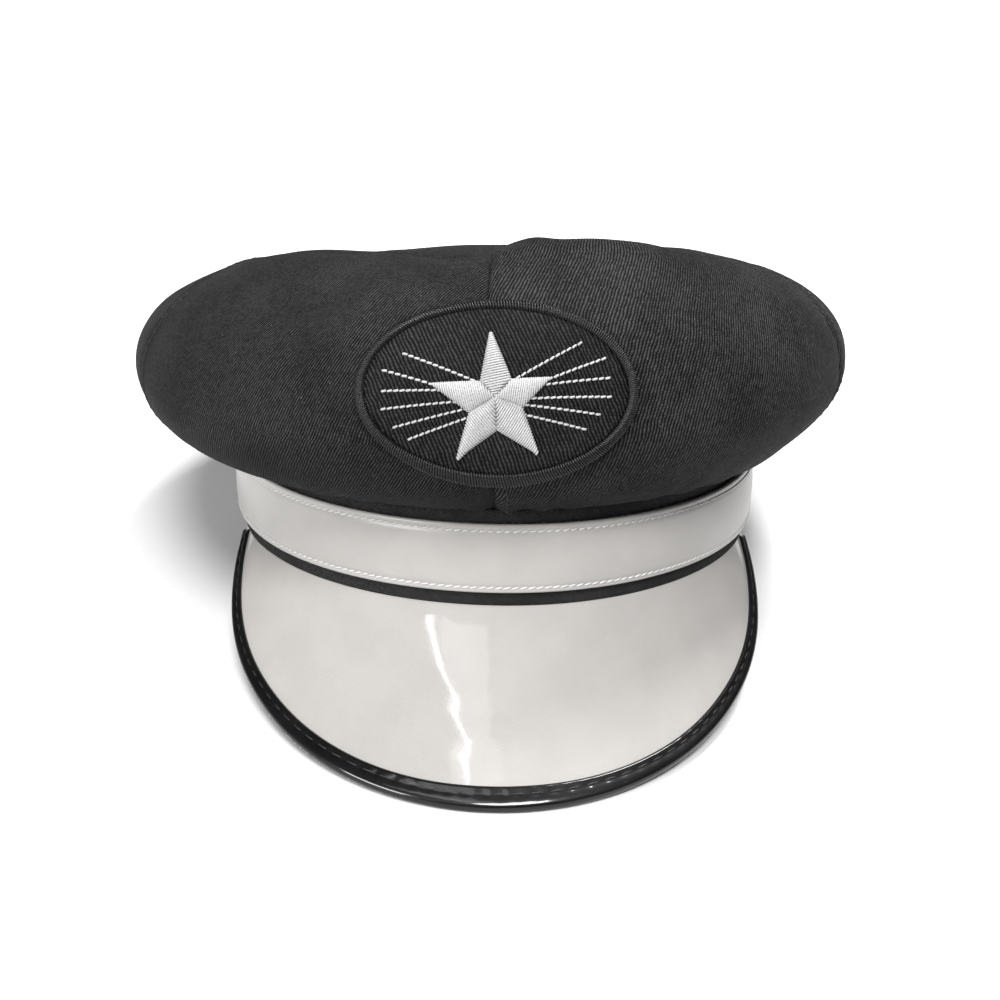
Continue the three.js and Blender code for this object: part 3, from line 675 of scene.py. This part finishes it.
def vinyl(name, low, high, coat, coat_roughness, grain, swell):
    skin = {"Roughness": 0.4, "Specular IOR Level": 0.1, "Coat Weight": coat,
            "Coat Roughness": coat_roughness}
    material, tree, shader = new_material(name, skin)
    cloth = add_node(tree, "ShaderNodeUVMap", uv_map="cloth").outputs[0]
    broad = between(tree, noise(tree, cloth, 0.06, 4.0), 0.35, 0.65)
    colour = mixed(tree, broad, low, high)
    fleck = add_node(tree, "ShaderNodeTexVoronoi", {"Vector": cloth, "Scale": 0.16})
    fleck_share = between(tree, fleck.outputs["Distance"], 0.03, 0.015, 0.0, 0.25)
    tree.links.new(mixed(tree, fleck_share, colour, grey(0.3)), shader.inputs["Base Color"])
    split = add_node(tree, "ShaderNodeSeparateXYZ", {0: cloth})
    steps = [maths(tree, "MULTIPLY", split.outputs[k], math.tau / VINYL_WEAVE) for k in (0, 1)]
    warp, weft = (maths(tree, "SINE", step) for step in steps)
    check = maths(tree, "MULTIPLY", warp, weft)
    fine = maths(tree, "MULTIPLY_ADD", check, 0.5, noise(tree, cloth, 1.1, 3.0))
    soft = bump(tree, noise(tree, cloth, 0.09, 3.0), swell)
    tree.links.new(bump(tree, fine, grain, Normal=soft), shader.inputs["Normal"])
    return material


def thread_material(name, low, high, roughness, gleam):
    shine = {"Roughness": roughness, "Specular IOR Level": gleam}
    material, tree, shader = new_material(name, shine)
    where = add_node(tree, "ShaderNodeTexCoord").outputs["Object"]
    strands = noise(tree, where, 2200.0, 2.0)
    colour = mixed(tree, between(tree, strands, 0.3, 0.7), low, high)
    tree.links.new(colour, shader.inputs["Base Color"])
    tree.links.new(bump(tree, strands, 0.08), shader.inputs["Normal"])
    return material


white_vinyl = vinyl("white_vinyl", grey(0.255, 0.04), grey(0.268, 0.04), 0.8, 0.06, 0.03, 0.07)
strap_vinyl = vinyl("strap_vinyl", grey(0.255, 0.04), grey(0.27, 0.04), 0.5, 0.3, 0.02, 0.2)
black_vinyl = vinyl("black_vinyl", grey(0.002), grey(0.004), 0.6, 0.1, 0.01, 0.15)
strap_thread = thread_material("strap_thread", grey(0.34), grey(0.44), 0.42, 0.5)
black_thread = thread_material("black_thread", grey(0.003), grey(0.02), 0.45, 0.3)
white_thread = thread_material("white_thread", grey(0.25), grey(0.33), 0.42, 0.5)
border_thread = thread_material("border_thread", grey(0.001), grey(0.012), 0.4, 0.25)


# %% [markdown]
# ## Band and strap
# Both are closed rings: one section carried round the oval of the head opening. The strap's
# outer face bulges a little, its edges are rounded, and two shallow channels take its stitches.


# %% Rings round the head
def ring_ease(azimuth):
    return 0.12 * np.sin(3 * azimuth + 1) + 0.08 * np.sin(7 * azimuth)


def tube_faces(rows, columns, closed=True):
    ids = np.arange(rows * columns).reshape(rows, columns)
    one, two = (ids, np.roll(ids, -1, 0)) if closed else (ids[:-1], ids[1:])
    return np.stack([one, np.roll(one, -1, 1), np.roll(two, -1, 1), two], -1).reshape(-1, 4)


def lengths_along(line):
    return np.concatenate([[0], np.cumsum(np.linalg.norm(np.diff(line, axis=0), axis=-1))])


def ring(name, half_width, profile, material):
    azimuth = full_turn(480)[:, None] + math.pi
    profile = np.asarray(profile, float)
    out, height = profile.T
    points = around(azimuth, oval_radius(azimuth, half_width) + out + ring_ease(azimuth), height)
    faces = tube_faces(*points.shape[:2])[:, [0, 3, 2, 1]]
    run = np.linalg.norm(np.diff(points[:, 0], axis=0, append=points[:1, 0]), axis=-1)
    u = lengths_along(points[:, 0])[:, None] + 0 * height
    v = lengths_along(profile)[None, :]
    cloth = np.stack([u, v + 0 * u], -1)
    piece = new_piece(name, points.reshape(-1, 3), faces, material, cloth)
    layer = piece.data.uv_layers["cloth"]
    corners = np.zeros(len(piece.data.loops) * 2)
    layer.data.foreach_get("uv", corners)
    corners = corners.reshape(-1, 4, 2)
    wraps = np.ptp(corners[..., 0], axis=1) > run.sum() / 2
    corners[wraps, :, 0] += np.where(corners[wraps, :, 0] < run.sum() / 2, run.sum(), 0)
    layer.data.foreach_set("uv", corners.ravel())


STITCH_DROP, STITCH_RISE, CHANNEL = 2.0, 1.7, 0.26


def strap_out(height):
    share = np.asarray(height) / STRAP_HEIGHT
    bulge = STRAP_BULGE * np.clip(1 - ((share - 0.45) / 0.55) ** 2, 0, 1)
    rows = [STITCH_RISE, STRAP_HEIGHT - STITCH_DROP]
    dips = sum(np.exp(-(((height - row) / 0.7) ** 2)) for row in rows)
    corner = np.clip(1 - np.minimum(share, 1 - share) * STRAP_HEIGHT / 0.7, 0, 1)
    return STRAP_WALL + bulge - CHANNEL * dips - 0.6 * (1 - np.sqrt(1 - corner**2))


edges = (1 - np.cos(np.linspace(0, math.pi, 40))) / 2 * STRAP_HEIGHT
strap_profile = [(0, 0)] + [(float(strap_out(h)), h) for h in edges] + [(0, STRAP_HEIGHT)]
ring("strap", BAND_HALF_WIDTH + SEAT_GAP, strap_profile, strap_vinyl)

top, foot, bevel = HEM_HEIGHT - SEAT_GAP, -BAND_BELOW_STRAP, 0.35
heights = np.linspace(foot + 0.3, top - 0.3, 16)
band_profile = [(-bevel, foot)] + [(0, h) for h in heights] + [(-bevel, top)]
band_profile += [(bevel - BAND_WALL, top), (-BAND_WALL, top - 0.4)]
band_profile += [(-BAND_WALL, foot + 0.4), (bevel - BAND_WALL, foot)]
ring("head_band", BAND_HALF_WIDTH, band_profile, twill_band)

# %% [markdown]
# ## Peak and its bound edge
# The peak is a sheet of stiff vinyl bent over a slanting cone: straight lines run down it from
# the band, and they spread a little at the sides. Its outline comes from the length of those
# lines. The black edge is folded over the rim, so its section is walked in from the rim along
# the surface and swept all round, narrower towards its ends. Both are cut off level under the
# band. Small kinks down one line of the sheet break up the light that is mirrored in it.


# %% Peak surface
OUTLINE = np.array([
    # share of the half arc, share of the full length
    (0, 1.0), (0.2, 0.96), (0.4, 0.841), (0.6, 0.647),
    (0.75, 0.451), (0.88, 0.222), (0.96, 0.043), (1.0, -0.05),
])


def visor_reach(arc):
    x, y = OUTLINE.T
    inner, last = (y[2:] - y[:-2]) / (x[2:] - x[:-2]), (y[-1] - y[-2]) / (x[-1] - x[-2])
    slope = np.concatenate([[0], inner, [last]])
    at = np.abs(arc)
    row = np.clip(np.searchsorted(x, at, side="left") - 1, 0, len(x) - 2)
    span = x[row + 1] - x[row]
    f, rise = (at - x[row]) / span, y[row + 1] - y[row]
    a, b = slope[row] * span, slope[row + 1] * span
    curve = f * a + f**2 * (3 * rise - 2 * a - b) + f**3 * (a + b - 2 * rise)
    return VISOR_LENGTH * (y[row] + curve)


def visor_frame(arc, down):
    e = 0.001
    along = (visor_point(arc + e, down) - visor_point(arc - e, down)) / (2 * e)
    out = (visor_point(arc, down + e) - visor_point(arc, down - e)) / (2 * e)
    return along, out, -unit(np.cross(along, out))


def from_rim(arc, distance):
    arc, distance = np.broadcast_arrays(np.asarray(arc, float), np.asarray(distance, float))
    e = 0.002
    ahead, behind = (visor_point(arc + k, visor_reach(arc + k)) for k in (e, -e))
    rim = unit(ahead - behind)
    a, d = arc.copy(), visor_reach(arc)
    for _ in range(6):
        along, out, normal = visor_frame(a, d)
        step = unit(np.cross(normal, rim)) * (distance / 6)[..., None]
        aa, ao, oo = (along * along).sum(-1), (along * out).sum(-1), (out * out).sum(-1)
        sa, so = (step * along).sum(-1), (step * out).sum(-1)
        size = aa * oo - ao * ao
        a, d = a + (sa * oo - so * ao) / size, d + (so * aa - sa * ao) / size
    return a, d


def cut_under_band(piece):
    level = to_floor(np.array([0, 0, -BAND_BELOW_STRAP + 0.2]))
    shape = bmesh.new()
    shape.from_mesh(piece.data)
    parts = shape.verts[:] + shape.edges[:] + shape.faces[:]
    bmesh.ops.bisect_plane(shape, geom=parts, plane_co=level, plane_no=TIPPED[:, 2],
                           clear_outer=True)
    rims = [edge for edge in shape.edges if edge.is_boundary]
    bmesh.ops.holes_fill(shape, edges=rims, sides=0)
    open_edges = sum(edge.is_boundary for edge in shape.edges)
    shape.to_mesh(piece.data)
    shape.free()
    print(f"{piece.name}: {len(piece.data.polygons)} faces after the cut, {open_edges} open edges")


def visor_arcs(count):
    s = np.linspace(-1, 1, count)
    return VISOR_END_ARC * np.sin(s * VISOR_SPREAD) / math.sin(VISOR_SPREAD)


# %% Peak
KINKS = np.array([
    # way down the peak, sideways shift of the mirrored streak
    (0, 0.2), (9, -0.5), (15, -0.4), (22, -0.3), (28.5, 0.8),
    (35, 0), (42, 1.2), (48.6, -0.1), (57, 0),
])


def visor_lift(arc, down):
    long_wave = 0.22 * np.sin(arc * 9 + 0.6) * np.sin(down / 26)
    crease = 0.08 * np.exp(-((arc * 110 / 3.5) ** 2)) * np.clip(down / 30, 0, 1)
    beside = arc * (115 + 0.45 * down) + 19.8 - 0.24 * down
    kink = 0.013 * np.interp(down, *KINKS.T) * beside * np.exp(-((beside / 9) ** 2))
    return long_wave - crease + kink


def visor(name):
    arc = visor_arcs(220)[:, None]
    share = np.linspace(0, 1, 60)[None, :]
    edge_arc, edge_down = from_rim(arc, BINDING_WALL + SEAT_GAP)
    root = 0.45
    a, d = arc + (edge_arc - arc) * share, root + (edge_down - root) * share
    middle, normal = visor_point(a, d), visor_frame(a, d)[2]
    swell = visor_lift(a, d)[..., None]
    upper = middle + normal * (VISOR_WALL / 2 + swell)
    lower = middle + normal * (swell - VISOR_WALL / 2)
    cloth = np.stack([a * VISOR_HALF_ARC * BAND_HALF_WIDTH * 1.15, d], -1)
    points, faces, flat = wall(upper, lower, cloth)
    cut_under_band(new_piece(name, points, faces, white_vinyl, flat))


visor("visor")

# %% Bound edge of the peak
BINDING_STITCH_IN, BINDING_PITCH, BINDING_TAPER = 4.9, 5.4, 0.5


def binding_profile():
    face, low = rim_half, VISOR_WALL / 2 + 0.15
    turn = np.linspace(0, math.pi, 13)
    nose = [(BINDING_ROUND * 1.6 * (1 - math.sin(t)), face * math.cos(t)) for t in turn]
    width = BINDING_WIDTH
    flat = [(width - 0.15, face * 0.62), (width - 0.5, face * 0.8), (width - 1.0, face * 0.86),
            (BINDING_STITCH_IN, face * 0.84), (4.0, face * 0.9), (3.2, face * 0.97)]
    upper = [(width, low)] + flat
    lower = [(x, -y) for x, y in reversed(flat)] + [(width, -low)]
    return np.array(upper + nose + lower + [(BINDING_WALL, -low), (BINDING_WALL, low)])


def binding_share(arc):
    end = (arc / VISOR_END_ARC) ** 2
    return 1 - BINDING_TAPER * end / np.sqrt(0.02 + end)


def visor_binding(name):
    arc = visor_arcs(560)[:, None]
    profile = binding_profile()
    inward, rise = profile[:, 0][None, :], profile[:, 1][None, :]
    a, d = from_rim(arc, inward * binding_share(arc))
    normal = visor_frame(a, d)[2]
    rim = visor_point(arc[:, 0], visor_reach(arc[:, 0]))
    run = lengths_along(rim)[:, None]
    pinch = 0.5 + 0.5 * np.cos(math.tau * run / BINDING_PITCH)
    near = np.exp(-(((inward - BINDING_STITCH_IN) / 1.1) ** 2))
    rise = rise - np.sign(rise) * (0.15 + 0.05 * np.sin(run / 13)) * pinch * near
    lift = rise + visor_lift(a, d) * np.clip(inward / 3, 0, 1)
    points = visor_point(a, d) + normal * lift[..., None]
    faces = tube_faces(*points.shape[:2], closed=False)
    v = lengths_along(profile)
    cloth = np.stack([run + 0 * v, v + 0 * run], -1)
    piece = new_piece(name, points.reshape(-1, 3), faces, black_vinyl, cloth)
    cut_under_band(piece)


visor_binding("visor_binding")

# %% [markdown]
# ## Patch on the front
# The patch is an oval of coarser twill with a thick overlocked border. It is laid on the crown:
# each point of its flat drawing is dropped onto the smooth form by a few steps of Newton's
# method, so the patch bends with the cloth below it but has no valley where the seam is.


# %% Places on the patch
PATCH_UP = np.array([0, math.sin(PATCH_LEAN), math.cos(PATCH_LEAN)])


def patch_place(side, up):
    side, up = np.broadcast_arrays(np.asarray(side, float), np.asarray(up, float))
    wanted = PATCH_CENTRE_SIDE + side, PATCH_CENTRE_UP + up
    azimuth, level = wanted[0] / CROWN_HALF_WIDTH, np.ones(side.shape)
    e = 0.002

    def height(p):
        return (p[..., 1] + CROWN_HALF_WIDTH) * PATCH_UP[1] + p[..., 2] * PATCH_UP[2]

    for _ in range(14):
        way = np.where(level < 1, -1, 1)
        p, pa = crown_body(azimuth, level), crown_body(azimuth + e, level)
        pl = crown_body(azimuth, level + way * e)
        jx, jl = (pa[..., 0] - p[..., 0]) / e, (pl[..., 0] - p[..., 0]) / e * way
        mx, ml = (height(pa) - height(p)) / e, (height(pl) - height(p)) / e * way
        miss = wanted[0] - p[..., 0], wanted[1] - height(p)
        size = jx * ml - jl * mx
        azimuth = azimuth + (miss[0] * ml - miss[1] * jl) / size * 0.9
        level = np.clip(level + (miss[1] * jx - miss[0] * mx) / size * 0.9, 0.2, 1.8)
    return azimuth, level


def patch_point(side, up, lift):
    azimuth, level = patch_place(side, up)
    return crown_point(azimuth, level, lift + 0 * level, seams=False)


def patch_normal(side, up):
    return crown_normal(*patch_place(side, up))


def patch_oval(turn, inset):
    angle = turn * math.tau
    full = 1 + PATCH_FULLNESS * np.cos(angle - math.radians(235))
    return ((PATCH_HALF_WIDTH * full - inset) * np.sin(angle),
            (PATCH_HALF_HEIGHT * full - inset) * np.cos(angle))


# %% Ground of the patch
def patch_ground(name):
    turn = full_turn(160)[:, None] / math.tau
    share = np.linspace(1, 0.03, 34)[None, :]
    across, up = patch_oval(turn, BORDER_WIDTH + SEAT_GAP)
    side, high = across * share, up * share
    outer = patch_point(side, high, PATCH_GAP + PATCH_WALL)
    inner = patch_point(side, high, PATCH_GAP)
    points, faces = dome(outer, inner)
    flat = np.stack([side, high], -1).reshape(-1, 2)
    cloth = np.concatenate([flat, flat, np.zeros((2, 2))])
    piece = new_piece(name, points, faces, twill_patch, cloth)


twill_patch = twill("patch_twill", grey(0.001), grey(0.025), 1.0, math.radians(-25), 0.25, 0.2)
patch_ground("patch_ground")

# %% [markdown]
# ## Threads by Geometry Nodes
# Two small trees make all the thread work. The first turns every line of a mesh into a round
# thread: the border and the star are drawn as many short lines and grown with it. The second
# walks along a line at a named pitch and sets one short stitch at each step, its ends dipping
# into the cloth, turned so that it lies on the surface. The lines carry the direction that
# faces away from the cloth as an attribute.


# %% Tools for the trees
def new_tree(name, sizes):
    tree = bpy.data.node_groups.new(name, "GeometryNodeTree")
    tree.interface.new_socket("Lines", in_out="INPUT", socket_type="NodeSocketGeometry")
    for label, value in sizes.items():
        kind = "NodeSocketInt" if isinstance(value, int) else "NodeSocketFloat"
        tree.interface.new_socket(label, in_out="INPUT", socket_type=kind).default_value = value
    tree.interface.new_socket("Thread", in_out="INPUT", socket_type="NodeSocketMaterial")
    tree.interface.new_socket("Threads", in_out="OUTPUT", socket_type="NodeSocketGeometry")
    return tree, add_node(tree, "NodeGroupInput"), add_node(tree, "NodeGroupOutput")


def finish_tree(tree, entry, leave, geometry):
    whole = add_node(tree, "GeometryNodeRealizeInstances", {"Geometry": geometry})
    smooth = add_node(tree, "GeometryNodeSetShadeSmooth", {"Geometry": whole.outputs[0]})
    inputs = {"Geometry": smooth.outputs[0], "Material": entry.outputs["Thread"]}
    painted = add_node(tree, "GeometryNodeSetMaterial", inputs)
    tree.links.new(painted.outputs[0], leave.inputs["Threads"])
    return tree


def swept_tube(tree, curve, sides, radius):
    section = {"Resolution": sides, "Radius": radius}
    circle = add_node(tree, "GeometryNodeCurvePrimitiveCircle", section)
    swept = {"Curve": curve, "Profile Curve": circle.outputs[0], "Fill Caps": True}
    return add_node(tree, "GeometryNodeCurveToMesh", swept).outputs[0]


def line_mesh(name, lines, outs, closed=False):
    points, edges, away = [], [], []
    for line, out in zip(lines, outs):
        first = len(points)
        points.extend(to_floor(line).tolist())
        away.extend((np.asarray(out) @ TIPPED.T).tolist())
        ids = list(range(first, len(points)))
        edges.extend(zip(ids[:-1], ids[1:]))
        if closed:
            edges.append((ids[-1], ids[0]))
    mesh = bpy.data.meshes.new(name)
    mesh.from_pydata(points, edges, [])
    attribute = mesh.attributes.new("face_out", "FLOAT_VECTOR", "POINT")
    attribute.data.foreach_set("vector", np.asarray(away, float).ravel())
    return mesh


def grow(name, tree, mesh, material, slot, **sizes):
    seed = new_object(name + "_lines", mesh)
    modifier = seed.modifiers.new("grow", "NODES")
    modifier.node_group = tree
    wanted = {"Thread": material, **sizes}
    for item in tree.interface.items_tree:
        if item.name in wanted:
            modifier[item.identifier] = wanted[item.name]
    shown = seed.evaluated_get(bpy.context.evaluated_depsgraph_get())
    grown = bpy.data.meshes.new_from_object(shown)
    grown.name = name
    bpy.data.objects.remove(seed)
    piece = new_object(name, grown)
    pieces.append(piece)
    print(f"{name}: {len(grown.polygons)} faces")


# %% Tree that makes threads of lines
def thread_tree():
    tree, entry, leave = new_tree("threads of lines", {"Radius": 0.2, "Sides": 5})
    curve = add_node(tree, "GeometryNodeMeshToCurve", {0: entry.outputs["Lines"]})
    radius = maths(tree, "MULTIPLY", entry.outputs["Radius"], MM)
    tube = swept_tube(tree, curve.outputs[0], entry.outputs["Sides"], radius)
    return finish_tree(tree, entry, leave, tube)


# %% Tree that sets stitches along lines
def stitch_tree():
    sizes = {"Pitch": 3.0, "Length": 2.4, "Radius": 0.3, "Dive": 0.35, "Slant": 0.0}
    tree, entry, leave = new_tree("stitches along lines", sizes)
    size = {name: maths(tree, "MULTIPLY", entry.outputs[name], MM) for name in list(sizes)[:4]}
    curve = add_node(tree, "GeometryNodeMeshToCurve", {0: entry.outputs["Lines"]})
    walk = {"Curve": curve.outputs[0], "Length": size["Pitch"]}
    steps = add_node(tree, "GeometryNodeResampleCurve", walk, mode="LENGTH")
    short = {}
    for end, way in (("Start", -0.5), ("End", 0.5)):
        reach = maths(tree, "MULTIPLY", size["Length"], way)
        short[end] = add_node(tree, "ShaderNodeCombineXYZ", {0: reach}).outputs[0]
    line = add_node(tree, "GeometryNodeCurvePrimitiveLine", short)
    parts = {"Curve": line.outputs[0], "Count": 5}
    line = add_node(tree, "GeometryNodeResampleCurve", parts, mode="COUNT")
    along = add_node(tree, "GeometryNodeSplineParameter").outputs["Factor"]
    out = maths(tree, "MULTIPLY_ADD", along, 2.0, -1.0)
    bow = maths(tree, "MULTIPLY", maths(tree, "POWER", maths(tree, "ABSOLUTE", out), 2.5), size["Dive"])
    drop = add_node(tree, "ShaderNodeCombineXYZ", {2: maths(tree, "MULTIPLY", bow, -1.0)})
    bowed = {"Geometry": line.outputs[0], "Offset": drop.outputs[0]}
    bent = add_node(tree, "GeometryNodeSetPosition", bowed)
    stitch = swept_tube(tree, bent.outputs[0], 6, size["Radius"])
    tangent = add_node(tree, "GeometryNodeInputTangent").outputs[0]
    label = {"Name": "face_out"}
    away = add_node(tree, "GeometryNodeInputNamedAttribute", label, data_type="FLOAT_VECTOR")
    lie = add_node(tree, "FunctionNodeAlignRotationToVector", {"Vector": tangent}, axis="X")
    face = {"Rotation": lie.outputs[0], "Vector": away.outputs[0]}
    lie = add_node(tree, "FunctionNodeAlignRotationToVector", face, axis="Z", pivot_axis="X")
    slant = add_node(tree, "ShaderNodeCombineXYZ", {2: entry.outputs["Slant"]})
    twist = add_node(tree, "FunctionNodeEulerToRotation", {0: slant.outputs[0]})
    both = {"Rotation": lie.outputs[0], "Rotate By": twist.outputs[0]}
    turned = add_node(tree, "FunctionNodeRotateRotation", both, rotation_space="LOCAL")
    place = {"Points": steps.outputs[0], "Instance": stitch, "Rotation": turned.outputs[0]}
    row = add_node(tree, "GeometryNodeInstanceOnPoints", place)
    return finish_tree(tree, entry, leave, row.outputs[0])


threads_of_lines, stitches_along_lines = thread_tree(), stitch_tree()
print("trees:", threads_of_lines.name, "and", stitches_along_lines.name)

# %% [markdown]
# ## Overlocked border
# The border of such a patch is a cord of close threads that wrap over the edge. A rounded ring
# gives it its body, and three hundred threads lie across it, each a little slanted.


# %% Border of the patch
def border_height(share):
    return PATCH_GAP + BORDER_HEIGHT * np.sqrt(np.clip(1 - (2 * share - 1) ** 4, 0, 1))


def patch_border(name):
    turn = np.linspace(0, 1, 240, endpoint=False)[:, None]
    share = np.linspace(0, 1, 9)[None, :]
    side, up = patch_oval(turn, BORDER_WIDTH * share)
    rings = patch_point(side, up, border_height(share) - 0.25 * (share > 0) * (share < 1))
    faces = tube_faces(*rings.shape[:2])
    new_piece(name, rings.reshape(-1, 3), faces, border_thread)


BORDER_THREADS, BORDER_SLANT = 300, 0.004
patch_border("patch_border")
turn = np.linspace(0, 1, BORDER_THREADS, endpoint=False)[:, None]
share = np.linspace(-0.06, 1.06, 8)[None, :]
side, up = patch_oval(turn + BORDER_SLANT * share, BORDER_WIDTH * share)
lines = patch_point(side, up, border_height(np.clip(share, 0, 1)) - 0.05)
mesh = line_mesh("border_lines", lines, patch_normal(side, up))
grow("patch_border_threads", threads_of_lines, mesh, border_thread, "black_thread", Radius=0.33)

# %% [markdown]
# ## Satin star
# Satin stitch lays threads side by side across each arm, from edge to edge. The arms are filled
# one after the other, so a furrow stays between two of them from the middle to the inner corner.
# The length of each thread is read from the arm's outline, and it swells up over the padding.


# %% Star
STAR_CORNERS = np.array([
    # turn from the top, share of the radius
    (-0.013, 0.922), (0.124, 0.318), (0.198, 0.838), (0.307, 0.42), (0.388, 1.0),
    (0.487, 0.446), (0.592, 1.0), (0.663, 0.434), (0.779, 0.947), (0.868, 0.287),
])
corner_turns, corner_radii = STAR_CORNERS.T
corners = STAR_RADIUS * corner_radii[:, None] * np.stack(
    [np.sin(corner_turns * math.tau), np.cos(corner_turns * math.tau)], -1)
STAR_BASE = PATCH_GAP + PATCH_WALL + PATCH_GAP


def star(name):
    cuts = np.linspace(0, 1, 10, endpoint=False)[:, None]
    edge = np.concatenate([a + (b - a) * cuts for a, b in zip(corners, np.roll(corners, -1, 0))])
    share = np.array([0.97, 0.9, 0.8, 0.65, 0.5, 0.35, 0.2, 0.06])[None, :]
    side = STAR_CENTRE_SIDE + edge[:, :1] * share
    up = STAR_CENTRE_UP + edge[:, 1:] * share
    outer = patch_point(side, up, STAR_BASE + STAR_EDGE - 0.3)
    inner = patch_point(side, up, STAR_BASE - 0.4)
    points, faces = dome(outer, inner)
    new_piece(name, points, faces, white_thread)


STAR_THREAD_PITCH, STAR_THREAD_RADIUS = 0.62, 0.35
ARM_SLANTS = [0.12, -0.5, 0.3, -0.25, 0.5]
star("star")
lines, outs = [], []
for number, slant in enumerate(ARM_SLANTS):
    arm = corners[number * 2]
    long = np.linalg.norm(arm)
    ahead = arm / long
    aside = np.array([ahead[1], -ahead[0]])
    steps = np.arange(0.3 + 0.13 * number, long - 0.2, STAR_THREAD_PITCH)[:, None]
    ends = []
    for way, inner in ((-1, corners[number * 2 - 1]), (1, corners[number * 2 + 1])):
        reach = steps
        for _ in range(6):
            width = np.interp(reach, [0, inner @ ahead, long], [0, abs(inner @ aside), 0.12])
            reach = np.clip(steps + way * slant * width, 0.1, long - 0.1)
        ends.append((reach, way * width))
    share = np.linspace(-0.02, 1.02, 9)[None, :]
    forward = ends[0][0] + (ends[1][0] - ends[0][0]) * share
    across = ends[0][1] + (ends[1][1] - ends[0][1]) * share
    side = STAR_CENTRE_SIDE + forward * ahead[0] + across * aside[0]
    up = STAR_CENTRE_UP + forward * ahead[1] + across * aside[1]
    full = np.minimum((ends[1][1] - ends[0][1]) / 5, 1)
    puff = STAR_RIDGE * full * np.clip(1 - np.abs(2 * share - 1) ** 2.5, 0, 1)
    lift = STAR_BASE + STAR_EDGE - 0.35 + puff - 0.5 * (np.abs(2 * share - 1) > 1)
    lines.extend(patch_point(side, up, lift))
    outs.extend(patch_normal(side, up))
mesh = line_mesh("star_lines", lines, outs)
grow("star_threads", threads_of_lines, mesh, white_thread, "white_thread",
     Radius=STAR_THREAD_RADIUS)

# %% [markdown]
# ## Rays beside the star
# Six rays fan out on each side of the star. Each is a single row of thick white stitches. The
# table gives their two ends on the flat patch, in millimetres from its middle.

# %% Rays
RAYS = np.array([
    # outer side, outer up, inner side, inner up
    (-24.7, 8.2, -5.2, 0.5), (-30.1, 4.2, -15.9, -0.2), (-30.3, -0.9, -15.35, -1.2),
    (-30.4, -5.3, -11.3, -4.1), (-27.2, -9.8, -8.4, -5.8), (-23.2, -12.8, -7.5, -7.8),
    (21.3, 11.4, 3.55, 1.1), (27.7, 7.9, 13.5, 2.0), (28.9, 3.1, 13.0, 0.6),
    (29.4, -1.5, 9.3, -3.0), (26.5, -6.0, 7.4, -4.7), (22.8, -9.8, 6.7, -7.0),
])
share = np.linspace(0, 1, 24)[None, :]
side = RAYS[:, :1] + (RAYS[:, 2:3] - RAYS[:, :1]) * share
up = RAYS[:, 1:2] + (RAYS[:, 3:4] - RAYS[:, 1:2]) * share
lines = patch_point(side, up, PATCH_GAP + PATCH_WALL + 0.28)
mesh = line_mesh("ray_lines", lines, patch_normal(side, up))
grow("ray_stitches", stitches_along_lines, mesh, white_thread, "white_thread",
     Pitch=1.7, Length=1.15, Radius=0.34, Dive=0.25, Slant=0.15)

# %% [markdown]
# ## Rows of stitches
# The strap has a row of white stitches near each edge, the bound edge of the peak a black row on
# both faces, and the seams of the crown a black row beside them. One tree sets them all.


# %% Stitch rows on the strap
def strap_row(height):
    azimuth = full_turn(480)
    out = float(strap_out(height)) + ring_ease(azimuth) + 0.1
    line = around(azimuth, oval_radius(azimuth, BAND_HALF_WIDTH + SEAT_GAP) + out, height)
    return line, around(azimuth, 1.0, 0.0)


strap_rows = [strap_row(STITCH_RISE), strap_row(STRAP_HEIGHT - STITCH_DROP)]
mesh = line_mesh("strap_lines", *zip(*strap_rows), closed=True)
grow("strap_stitches", stitches_along_lines, mesh, strap_thread, "white_thread",
     Pitch=2.5, Length=2.25, Radius=0.33, Dive=0.4, Slant=0.28)


# %% Stitch rows on the bound edge
def binding_row(sign):
    arc = visor_arcs(400)[8:-8]
    a, d = from_rim(arc, BINDING_STITCH_IN * binding_share(arc))
    normal = visor_frame(a, d)[2] * sign
    rise = rim_half * 0.84 - 0.08 + sign * visor_lift(a, d)
    line = visor_point(a, d) + normal * rise[:, None]
    return line, normal


mesh = line_mesh("binding_lines", *zip(binding_row(1), binding_row(-1)))
grow("binding_stitches", stitches_along_lines, mesh, black_thread, "black_thread",
     Pitch=BINDING_PITCH, Length=4.4, Radius=0.27, Dive=0.45)


# %% Topstitching of the crown
def crown_line(azimuth, level):
    azimuth, level = np.broadcast_arrays(azimuth, level)
    return crown_point(azimuth, level, 0 * level - 0.02), crown_normal(azimuth, level)


def beside_seam(seam, away):
    share = np.linspace(0.12, 1.0, 70)
    level = share * (top_seam(seam(share)) - 0.04)
    azimuth = seam(level) + away / crown_size(seam(level), level)
    return crown_line(azimuth, level)


seams = [front_seam, side_seam, left_seam, back_seam]
rows = [beside_seam(seam, ALLOWANCE_WIDTH - 0.9) for seam in seams]
mesh = line_mesh("seam_lines", *zip(*rows))
grow("seam_stitches", stitches_along_lines, mesh, black_thread, "black_thread",
     Pitch=3.2, Length=2.0, Radius=0.16, Dive=0.4)

# %% [markdown]
# ## Everything rides on the cap
# The cap has no moving part, so all pieces ride on its one body.

# %% Bodies
for piece in pieces:
    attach(piece, "root")
